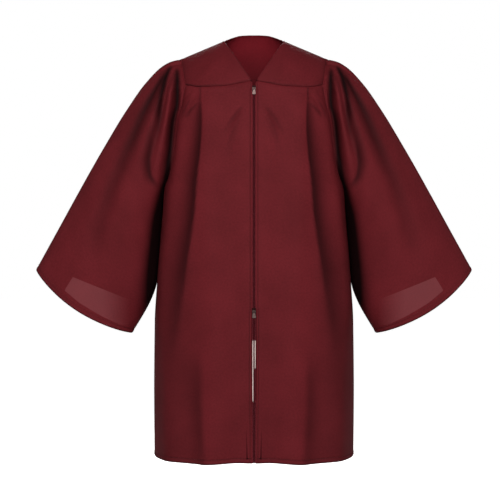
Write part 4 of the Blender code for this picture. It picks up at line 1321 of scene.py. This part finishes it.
# %% The back
back_shares = np.concatenate([np.linspace(0, 0.97, 60), EDGE_SHARES])
turns, levels = panel_rows("back", back_seam, YOKE_BACK_CORNER_OUT, lambda level: 0.0, back_shares)
half = panel_point(turns, levels, "back")
half[..., 2] -= hem_dip(half[..., 0]) * ease((HEM_LEVEL + 70 - levels) / 70)
half = half[:, ::-1]
back_grid = np.concatenate([half, half[:, -2::-1] * np.array([-1, 1, 1])], axis=1)
across, down = distances_of(back_grid)
to_hem = down[-1:] - down
detail = roll_under(across) + roll_under(across[:, -1:] - across)
detail += stitched_edge(to_hem, HEM_STITCH) + roll_under(to_hem, 0.5)
detail -= TUCK_SINK * np.exp(-((down / 2.2) ** 2))
calm = ease(down / 15)
detail += 0.9 * ripples(across, down, 11, 38, 190) * calm + 0.3 * ripples(across, down, 12, 16, 70) * calm
# Painted shade of the back: deeper where its pleats sink in, and on its sides.
sunk = np.clip(-fold_height(turns, levels, "back")[:, ::-1] / BACK_PAINTED_SHADE_DEPTH, 0, 1)
sunk = deeper_of(sunk, side_share(-half[..., 0], half[..., 2]))
back_painted_shade = deeper_of(np.concatenate([sunk, sunk[:, -2::-1]], axis=1), edge_shade(to_hem, HEM_STITCH))
back_grid = back_grid + normals_of(back_grid) * detail[..., None]
sewn, dark = tucked(back_grid, back_painted_shade, first=True, depth=BACK_TOP_DEPTH)
back = make_cloth("back_cloth", sewn, "back", dark, (24, 30), hem_from=-9)

# %% [markdown]
# The yoke's lower edge is folded under and stitched down over the tops of the panels, so it stands
# proud of them. Its neck edge is turned and stitched too.

# %% The yokes
NECK_STITCH = 2.6
# An even painted shade over the yokes.
YOKE_SHADE = 0.06
YOKE_STITCH = 2.2
edge_steps = np.array([0, 0.008, 0.02, 0.035, 0.055, 0.08])
yoke_ways = np.concatenate([edge_steps, np.linspace(0.12, 0.88, 26), (1 - edge_steps)[::-1]])


def yoke_grid(point, tops, span, first_top):
    seams = first_top + (tops - first_top) * span
    return np.array([[point(top, seam, way) for top, seam in zip(tops, seams)] for way in yoke_ways])


tops = np.concatenate(
    [np.linspace(YOKE_POINT_OUT, NECK_HALF_WIDTH, 26), np.linspace(NECK_HALF_WIDTH, 134.5, 26)[1:], (136, 137, 137.6, 138)]
)
span = (YOKE_CORNER_OUT - YOKE_POINT_OUT) / (SHOULDER_HALF_WIDTH - YOKE_POINT_OUT)
front_yoke = yoke_grid(front_yoke_point, tops, span, YOKE_POINT_OUT)
across, down = distances_of(front_yoke)
to_seam = down[-1:] - down
at_neck = ease((NECK_HALF_WIDTH + 2 - tops) / 4)
detail = roll_under(down, 0.8) + stitched_edge(down, NECK_STITCH) * at_neck
detail += roll_under(to_seam, 0.5) + stitched_edge(to_seam, YOKE_STITCH) + roll_under(across[:, -1:] - across)
calm = ease(down / 12) * ease(to_seam / 12)
detail += 0.5 * ripples(across, down, 21, 30, 30) * calm
front_yoke = front_yoke + normals_of(front_yoke) * detail[..., None]
# Painted shade on the front yoke: an even touch over all of it, a line at its seam that is fainter towards the
# middle, and the stitches at the neck.
towards_corner = 0.35 + 0.65 * ease((-front_yoke[..., 0] - 70) / 24)
yoke_painted_shade = deeper_of(YOKE_SHADE, edge_shade(to_seam, YOKE_STITCH, 0.5) * towards_corner)
yoke_painted_shade = deeper_of(yoke_painted_shade, edge_shade(down, NECK_STITCH, 0.0) * at_neck)
yoke_cut = (8, 12)
yoke_front_right = make_cloth("yoke_front_right_cloth", front_yoke, "yoke_front_right", yoke_painted_shade, yoke_cut)
yoke_front_left = make_cloth("yoke_front_left_cloth", mirrored(front_yoke), "yoke_front_left", yoke_painted_shade, yoke_cut)

outer = np.concatenate([(138, 137.6, 137, 136), np.linspace(134.5, NECK_HALF_WIDTH, 26)])
inner = NECK_HALF_WIDTH * np.cos(np.linspace(0, math.pi / 2, 26))[1:]
tops = np.concatenate([outer, inner])
half = yoke_grid(back_yoke_point, tops, YOKE_BACK_CORNER_OUT / SHOULDER_HALF_WIDTH, 0.0)
back_yoke = np.concatenate([half, half[:, -2::-1] * np.array([-1, 1, 1])], axis=1)
across, down = distances_of(back_yoke)
to_seam = down[-1:] - down
at_neck = ease((NECK_HALF_WIDTH + 2 - np.concatenate([tops, tops[-2::-1]])) / 4)
detail = roll_under(down, 0.8) + stitched_edge(down, NECK_STITCH) * at_neck
detail += roll_under(to_seam, 0.5) + stitched_edge(to_seam, YOKE_STITCH)
detail += roll_under(across) + roll_under(across[:, -1:] - across)
calm = ease(down / 12) * ease(to_seam / 12)
detail += 0.5 * ripples(across, down, 23, 34, 30) * calm
back_yoke = back_yoke + normals_of(back_yoke) * detail[..., None]
# Painted shade on the back yoke: an even touch over all of it and a line at its seam.
yoke_painted_shade = deeper_of(YOKE_SHADE, edge_shade(to_seam, YOKE_STITCH, 0.5))
yoke_back = make_cloth("yoke_back_cloth", back_yoke, "yoke_back", yoke_painted_shade, (20, 20), inner=inner_cloth)

# %% [markdown]
# The sleeves are rings of points from the armhole to the cuff. Their first ring is tucked inside the
# armhole, so that no light comes through the seam. Near the cuff a four-sided patch of the front gets
# a painted glow: a lighter red for the light that comes through where only one layer of cloth hangs.

# %% The sleeves
CUFF_STITCH = 8.0
ALLOWANCE_DEPTH = 1.9
# Painted shade at the sleeve's outer edge.
FOLD_SHADE = 0.4
# Corners of the patch with the painted glow, out and level in millimetres, as seen from the front.
CUFF_GLOW_CORNERS = ((330, -436), (346, -461), (318, -484), (279, -508), (246, -525), (224, -528), (224, -479))
half_ring = 96


def polygon_inside(corners, out, level):
    """How far inside a convex polygon each point lies, in millimetres, and below 0 outside it."""
    inside = np.full(out.shape, 99.0)
    for (out_a, level_a), (out_b, level_b) in zip(corners, corners[1:] + corners[:1]):
        length = math.hypot(out_b - out_a, level_b - level_a)
        cross = (out_b - out_a) * (level - level_a) - (level_b - level_a) * (out - out_a)
        inside = np.minimum(inside, -cross / length)
    return inside


def ring_of(front, back):
    """Closed rings from the front and back halves of the sleeve, which share their first and last points."""
    middle = (front[:, [0, -1]] + back[:, [0, -1]]) / 2
    return np.concatenate([middle[:, :1], back[:, 1:-1], middle[:, 1:], front[:, -2:0:-1]], axis=1)


way = np.linspace(0, 1, half_ring + 1)
ring_shares = 0.5 * way + 0.25 * (1 - np.cos(math.pi * way))
cuff_rises = np.array((14, 12, 10, 8.9, 8.0, 7.1, 5.5, 3.5, 1.8, 0.6, 0)) / SLEEVE_LENGTH
starts = np.array((0, 0.6, 1.4, 2.6, 4.2, 6.2, 8.6)) / SLEEVE_LENGTH
ring_alongs = np.concatenate([starts, np.arange(11.5, SLEEVE_LENGTH - 16, 3.3) / SLEEVE_LENGTH, 1 - cuff_rises])
along, share = np.meshgrid(ring_alongs, ring_shares, indexing="ij")
front_half = sleeve_point(along, share, "front")
back_half = sleeve_point(along, share, "back")
sleeve_grid = ring_of(front_half, back_half)
# Painted shade of a sleeve: strokes on its front, the depth of the folds on its back, and its cuff's edge.
front_painted_shade = painted_shade_share(SLEEVE_PAINTED_SHADES, -front_half[..., 0], front_half[..., 2])
back_sunk = sum(path_height(rows, -back_half[..., 0], back_half[..., 2]) for rows in SLEEVE_BACK_FOLDS.values())
back_painted_shade = np.clip(-back_sunk / BACK_PAINTED_SHADE_DEPTH, 0, 1)
sleeve_painted_shade = np.concatenate([back_painted_shade, front_painted_shade[:, -2:0:-1]], axis=1)
across, down = distances_of(sleeve_grid)
to_cuff = down[-1:] - down
to_fold = np.minimum(across, across[:, -1:] + 3 - across)
sleeve_painted_shade = deeper_of(sleeve_painted_shade, edge_shade(to_cuff, CUFF_STITCH))
# Painted shade along the sleeve's outer edge, where its front turns into its back.
sleeve_painted_shade = deeper_of(sleeve_painted_shade, FOLD_SHADE * np.exp(-((to_fold / 4.0) ** 2)))
detail = roll_under(down) + stitched_edge(to_cuff, CUFF_STITCH) + roll_under(to_cuff, 0.5)
whole = across[:, -1:] + 3
calm = ease(down / 20) * ease(np.minimum(across, whole - across) / 15)
detail += 0.9 * ripples(across, down, 31, 36, 120) * calm + 0.3 * ripples(across, down, 32, 16, 50) * calm
sleeve_grid = sleeve_grid + normals_of(np.concatenate([sleeve_grid, sleeve_grid[:, :1]], axis=1))[:, :-1] * detail[..., None]
inside_line = [along_line(armhole_line(face, ARMHOLE_ALLOWANCE), ring_shares)[None] for face in ("front", "back")]
allowance = ring_of(*inside_line)
inward = allowance * np.array([-1, -1, 0]) + np.array([0, 0, -60])
inward = inward / np.linalg.norm(inward, axis=-1, keepdims=True)
sleeve_grid = np.concatenate([allowance + inward * ALLOWANCE_DEPTH, sleeve_grid])
sleeve_painted_shade = np.concatenate([sleeve_painted_shade[:1], sleeve_painted_shade])
# Only the front half of a sleeve gets the painted glow.
cuff_glow_inside = polygon_inside(CUFF_GLOW_CORNERS, -sleeve_grid[..., 0], sleeve_grid[..., 2])
cuff_glow_inside = np.where(sleeve_grid[..., 1] < 0, cuff_glow_inside, -99.0)
sleeve_cut = (24, 30)
sleeve_right = make_cloth(
    "sleeve_right_cloth",
    sleeve_grid,
    "sleeve_right",
    sleeve_painted_shade,
    sleeve_cut,
    closed=True,
    hem_from=-9,
    panel=cuff_glow_inside,
)
sleeve_left = make_cloth(
    "sleeve_left_cloth",
    mirrored(sleeve_grid),
    "sleeve_left",
    sleeve_painted_shade[:, ::-1],
    sleeve_cut,
    closed=True,
    hem_from=-9,
    panel=cuff_glow_inside[:, ::-1],
)

# %% [markdown]
# The zip is a pair of woven tapes with a nylon coil along each inner edge. The tapes lie behind the
# fronts. The coils meet down to the lower slider, and below it they stand a little apart. Over a stretch
# there each coil is near white, painted light for the light that shows through the parted zip.

# %% The zip tapes
ZIP_TOP = -96
ZIP_BOTTOM = -762
COIL_SINK = 0.3
COIL_OUTER = 2.4
TAPE_SINK = 1.9
TAPE_OUTS = (-0.6, 0.6, 2.4, 4.0, 6.5, 9.5, 12.0, 13.0)
TAPE_THICKNESS = 0.8


def zip_face(out, level):
    """The front's surface behind which the zip lies, at a distance out from the middle."""
    place = max(out, ZIP_LIP) + float(zip_parting(level))
    return float(body_point(turn_at(place, level), np.float64(level), "front")[1])


tape_levels = np.linspace(ZIP_TOP, ZIP_BOTTOM, 190)
tape_grid = np.array(
    [
        [(-(out + float(zip_parting(level))), zip_face(out, level) + TAPE_SINK, level) for out in TAPE_OUTS]
        for level in tape_levels
    ]
)


def make_tape(name, grid, replaced):
    index = np.arange(grid.shape[0] * grid.shape[1]).reshape(grid.shape[:2])
    quads = np.stack([index[:-1, :-1], index[:-1, 1:], index[1:, 1:], index[1:, :-1]], axis=-1)
    mesh = bpy.data.meshes.new(name)
    mesh.from_pydata((grid.reshape(-1, 3) * MM).tolist(), [], quads[..., ::-1].reshape(-1, 4).tolist())
    mesh.shade_smooth()
    mesh.materials.append(tape)
    piece = bpy.data.objects.new(name, mesh)
    bpy.context.scene.collection.objects.link(piece)
    wall = piece.modifiers.new("Thickness", "SOLIDIFY")
    wall.offset = -1
    wall.thickness = TAPE_THICKNESS * MM
    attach(piece, "gown")
    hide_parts(replaced)
    return piece


tape_right = make_tape("zip_tape_right_woven", tape_grid, "zip_tape_right")
tape_left = make_tape("zip_tape_left_woven", mirrored(tape_grid), "zip_tape_left")
print("two tapes", len(tape_levels), "rows long, from", ZIP_TOP, "to", ZIP_BOTTOM, "mm")

# %% [markdown]
# Stitches and coil turns are the same job: one small rounded piece, repeated at an even distance along a
# line on the cloth. A Geometry Nodes tree does it for any number of lines at once. Its size is given
# along the line, out of the cloth and across the line. A little random scale keeps it from looking drawn.


# %% A tree that repeats one small piece along lines
def build_repeat_tree():
    made = bpy.data.node_groups.new("Repeat along lines", "GeometryNodeTree")
    inputs = {}
    for title, kind in (
        ("Geometry", "NodeSocketGeometry"),
        ("Spacing", "NodeSocketFloat"),
        ("Size", "NodeSocketVector"),
        ("Uneven", "NodeSocketFloat"),
        ("Finish", "NodeSocketMaterial"),
    ):
        inputs[title] = made.interface.new_socket(title, in_out="INPUT", socket_type=kind).identifier
    made.interface.new_socket("Geometry", in_out="OUTPUT", socket_type="NodeSocketGeometry")
    given = add_node(made, "NodeGroupInput")
    curves = add_node(made, "GeometryNodeMeshToCurve", {0: given.outputs["Geometry"]})
    places = add_node(
        made,
        "GeometryNodeResampleCurve",
        {"Curve": curves.outputs[0], "Length": given.outputs["Spacing"]},
        mode="LENGTH",
    )
    ball = add_node(made, "GeometryNodeMeshUVSphere", None, {"Segments": 8, "Rings": 4, "Radius": 0.5})
    rounded = add_node(made, "GeometryNodeSetShadeSmooth", {"Geometry": ball.outputs["Mesh"]})
    way = add_node(made, "GeometryNodeInputTangent")
    turned = add_node(made, "FunctionNodeAlignRotationToVector", {"Vector": way.outputs[0]}, None, axis="X")
    least = add_node(made, "ShaderNodeMath", {1: given.outputs["Uneven"]}, {0: 1.0}, operation="SUBTRACT")
    change = add_node(made, "FunctionNodeRandomValue", {2: least.outputs[0]}, {3: 1.0, "Seed": 7}, data_type="FLOAT")
    size = add_node(
        made,
        "ShaderNodeVectorMath",
        {0: given.outputs["Size"], "Scale": change.outputs[1]},
        None,
        operation="SCALE",
    )
    repeats = add_node(
        made,
        "GeometryNodeInstanceOnPoints",
        {
            "Points": places.outputs[0],
            "Instance": rounded.outputs[0],
            "Rotation": turned.outputs[0],
            "Scale": size.outputs[0],
        },
    )
    real = add_node(made, "GeometryNodeRealizeInstances", {0: repeats.outputs[0]})
    finished = add_node(
        made, "GeometryNodeSetMaterial", {"Geometry": real.outputs[0], "Material": given.outputs["Finish"]}
    )
    add_node(made, "NodeGroupOutput", {0: finished.outputs[0]})
    return made, inputs


repeat_tree, repeat_inputs = build_repeat_tree()
print("inputs:", ", ".join(repeat_inputs))


def repeat_along(name, lines, spacing, size, finish, uneven):
    """One plain mesh of small pieces along lines of points, all in millimetres."""
    points = np.concatenate(lines) * MM
    edges, start = [], 0
    for line in lines:
        edges += [(start + i, start + i + 1) for i in range(len(line) - 1)]
        start += len(line)
    guide_mesh = bpy.data.meshes.new(name + "_lines")
    guide_mesh.from_pydata(points.tolist(), edges, [])
    guide = bpy.data.objects.new(name + "_lines", guide_mesh)
    bpy.context.scene.collection.objects.link(guide)
    nodes = guide.modifiers.new("Repeat", "NODES")
    nodes.node_group = repeat_tree
    nodes[repeat_inputs["Spacing"]] = spacing * MM
    nodes[repeat_inputs["Size"]] = [side * MM for side in size]
    nodes[repeat_inputs["Uneven"]] = uneven
    nodes[repeat_inputs["Finish"]] = finish
    bpy.context.view_layer.update()
    seen = guide.evaluated_get(bpy.context.evaluated_depsgraph_get())
    mesh = bpy.data.meshes.new_from_object(seen)
    mesh.name = name
    bpy.data.objects.remove(guide)
    if not mesh.materials:
        mesh.materials.append(finish)
    piece = bpy.data.objects.new(name, mesh)
    bpy.context.scene.collection.objects.link(piece)
    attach(piece, "gown")
    print(name, "has", len(mesh.polygons), "faces")
    return piece


# %% The coils
COIL_PITCH = 1.4
COIL_SIZE = (1.35, 1.5, 2.1)
COIL_MIDDLE = 1.8
COIL_DEPTH = 0.6
COIL_FOLLOWS = 0.15
# The stretch of each coil, in levels, that gets the painted light.
LIGHT_STREAK_FROM = -546
LIGHT_STREAK_TO = {-1: -654, 1: -596}


def coil_line(side, top, bottom):
    """The middle of a coil, on one side of the zip, between two levels."""
    rows = np.linspace(top, bottom, max(3, int((top - bottom) / 4)))
    outs = [COIL_MIDDLE + COIL_FOLLOWS * float(zip_parting(level)) for level in rows]
    return np.array(
        [(side * out, zip_face(COIL_MIDDLE, level) + COIL_DEPTH, level) for out, level in zip(outs, rows)]
    )


dyed_lines, painted_light_lines = [], []
for side in (-1, 1):
    dyed_lines.append(coil_line(side, ZIP_TOP, LIGHT_STREAK_FROM))
    dyed_lines.append(coil_line(side, LIGHT_STREAK_TO[side], ZIP_BOTTOM))
    painted_light_lines.append(coil_line(side, LIGHT_STREAK_FROM, LIGHT_STREAK_TO[side]))
repeat_along("zip_coils", dyed_lines, COIL_PITCH, COIL_SIZE, coil, 0.0)
repeat_along("zip_coils_painted_light", painted_light_lines, COIL_PITCH, COIL_SIZE, coil_painted_light, 0.0)

# %% [markdown]
# The gown is topstitched beside the zip, round the neck, along the yoke seam and round every hem. A
# line of stitches is read off the finished cloth, at a constant distance from an edge.


# %% The stitches
def line_at(grid, distance, at, first=0, last=None):
    """A line across a grid, at a distance from its first or last row, down each column."""
    line = []
    for column in range(first, grid.shape[1] if last is None else last):
        order = np.argsort(distance[:, column])
        ways = distance[order, column]
        line.append([np.interp(at, ways, grid[order, column, axis]) for axis in range(3)])
    return np.array(line)


def raised(line, grid_normals, height=0.12):
    return line + grid_normals * height


STITCH_SPACING = 2.9
STITCH_SIZE = (2.3, 0.4, 0.42)
zip_column = ZIP_COLUMNS.index(3.9)
front_normals = normals_of(front_grid)
zip_line = raised(front_grid[2:-3, zip_column], front_normals[2:-3, zip_column])
front_hem = raised(front_grid[-8, 1:-1], front_normals[-8, 1:-1])
back_hem = raised(back_grid[-8, 1:-1], normals_of(back_grid)[-8, 1:-1])
ring = np.concatenate([sleeve_grid, sleeve_grid[:, :1]], axis=1)
cuff_line = raised(ring[-7], normals_of(ring)[-7])
yoke_down = distances_of(front_yoke)[1]
neck_columns = int((np.concatenate([np.linspace(YOKE_POINT_OUT, NECK_HALF_WIDTH, 26)]) < NECK_HALF_WIDTH - 0.5).sum())
front_neck = line_at(front_yoke, yoke_down, NECK_STITCH, 1, neck_columns) + np.array([0, -0.12, 0.08])
front_seam = line_at(front_yoke, yoke_down[-1:] - yoke_down, YOKE_STITCH, 1, front_yoke.shape[1] - 1)
front_seam = front_seam + np.array([0, -0.14, 0])
yoke_back_down = distances_of(back_yoke)[1]
neck_first = len(outer)
back_neck = line_at(back_yoke, yoke_back_down, NECK_STITCH, neck_first, back_yoke.shape[1] - neck_first)
back_neck = back_neck + np.array([0, 0.05, 0.13])
back_seam_line = line_at(back_yoke, yoke_back_down[-1:] - yoke_back_down, YOKE_STITCH, 1, back_yoke.shape[1] - 1)
back_seam_line = back_seam_line + np.array([0, 0.14, 0])
tuck_levels = np.linspace(-95, -112, 8)
tuck_line = panel_point(turn_at(np.full(8, 97.0), tuck_levels), tuck_levels, "front") + np.array([0, -0.1, 0])
one_side = [zip_line, front_hem, cuff_line, front_neck, front_seam, tuck_line]
other_side = [line * np.array([-1, 1, 1]) for line in one_side]
lines = one_side + other_side + [back_hem, back_neck, back_seam_line]
repeat_along("stitches", lines, STITCH_SPACING, STITCH_SIZE, thread, 0.12)

# %% The metal
for name in ("slider_upper", "slider_lower", "pull_upper", "pull_lower"):
    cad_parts[name].data.materials.clear()
    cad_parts[name].data.materials.append(dark_zinc if name.startswith("slider") else bright_zinc)
print("the sliders are painted dark and the pull tabs are plated")

# %% [markdown]
# The camera stands level in front of the gown. One large soft light above it models the folds. One as
# strong behind the gown and weak ones at the sides keep the other views readable. The camera sees a white
# sky and floor, but only a little of that white lights the cloth, so that the deep folds stay dark.

# %% Camera, floor and lights
camera = bpy.data.objects.new("camera", bpy.data.cameras.new("camera"))
bpy.context.scene.collection.objects.link(camera)
camera.location = (0, -2.55, -0.360)
camera.rotation_euler = (math.pi / 2, 0, 0)
camera.data.sensor_width = 36
camera.data.lens = 36 * (2550 / 1.86) / 500
camera.data.shift_x = -0.008
camera.data.shift_y = -0.030
bpy.context.scene.camera = camera

FLOOR_LEVEL = -1.12
FLOOR_GLOW = 0.9
floor_mesh = bpy.data.meshes.new("floor")
ring = [(14 * math.cos(a), 14 * math.sin(a), FLOOR_LEVEL) for a in np.linspace(0, 2 * math.pi, 65)[:-1]]
floor_mesh.from_pydata(ring, [], [tuple(range(64))])
paper, tree, shader = new_material("Matte white paper floor")
shader.inputs["Base Color"].default_value = linear("f4f4f4")
shader.inputs["Roughness"].default_value = 0.9
shader.inputs["Specular IOR Level"].default_value = 0.1
shader.inputs["Emission Color"].default_value = (1, 1, 1, 1)
path = add_node(tree, "ShaderNodeLightPath")
glow = add_node(tree, "ShaderNodeMath", {0: path.outputs["Is Camera Ray"]}, {1: FLOOR_GLOW}, operation="MULTIPLY")
tree.links.new(glow.outputs[0], shader.inputs["Emission Strength"])
floor_mesh.materials.append(paper)
floor = bpy.data.objects.new("floor", floor_mesh)
bpy.context.scene.collection.objects.link(floor)


def soft_light(name, place, aim, size, watts):
    data = bpy.data.lights.new(name, "AREA")
    data.shape = "RECTANGLE"
    data.size, data.size_y = size
    data.energy = watts
    light = bpy.data.objects.new(name, data)
    bpy.context.scene.collection.objects.link(light)
    light.location = place
    light.visible_camera = False
    light.rotation_euler = (Vector(aim) - Vector(place)).to_track_quat("-Z", "Y").to_euler()
    return light


KEY_WATTS = 54
SIDE_WATTS = 5
SKY_LIGHT = 0.12
soft_light("key", (0, -2.3, 0.85), (0, 0, -0.3), (1.5, 1.3), KEY_WATTS)
soft_light("key behind", (0, 2.3, 0.85), (0, 0, -0.3), (1.5, 1.3), KEY_WATTS)
soft_light("side left", (2.6, 0, 0.4), (0, 0, -0.35), (1.4, 1.4), SIDE_WATTS)
soft_light("side right", (-2.6, 0, 0.4), (0, 0, -0.35), (1.4, 1.4), SIDE_WATTS)
world = bpy.data.worlds.new("studio")
bpy.context.scene.world = world
world.use_nodes = True
sky = world.node_tree.nodes["Background"]
sky.inputs["Color"].default_value = (1, 1, 1, 1)
path = add_node(world.node_tree, "ShaderNodeLightPath")
seen = add_node(world.node_tree, "ShaderNodeMapRange", {0: path.outputs["Is Camera Ray"]}, {3: SKY_LIGHT, 4: 1.0})
world.node_tree.links.new(seen.outputs[0], sky.inputs["Strength"])
bpy.context.scene.view_settings.view_transform = "Standard"
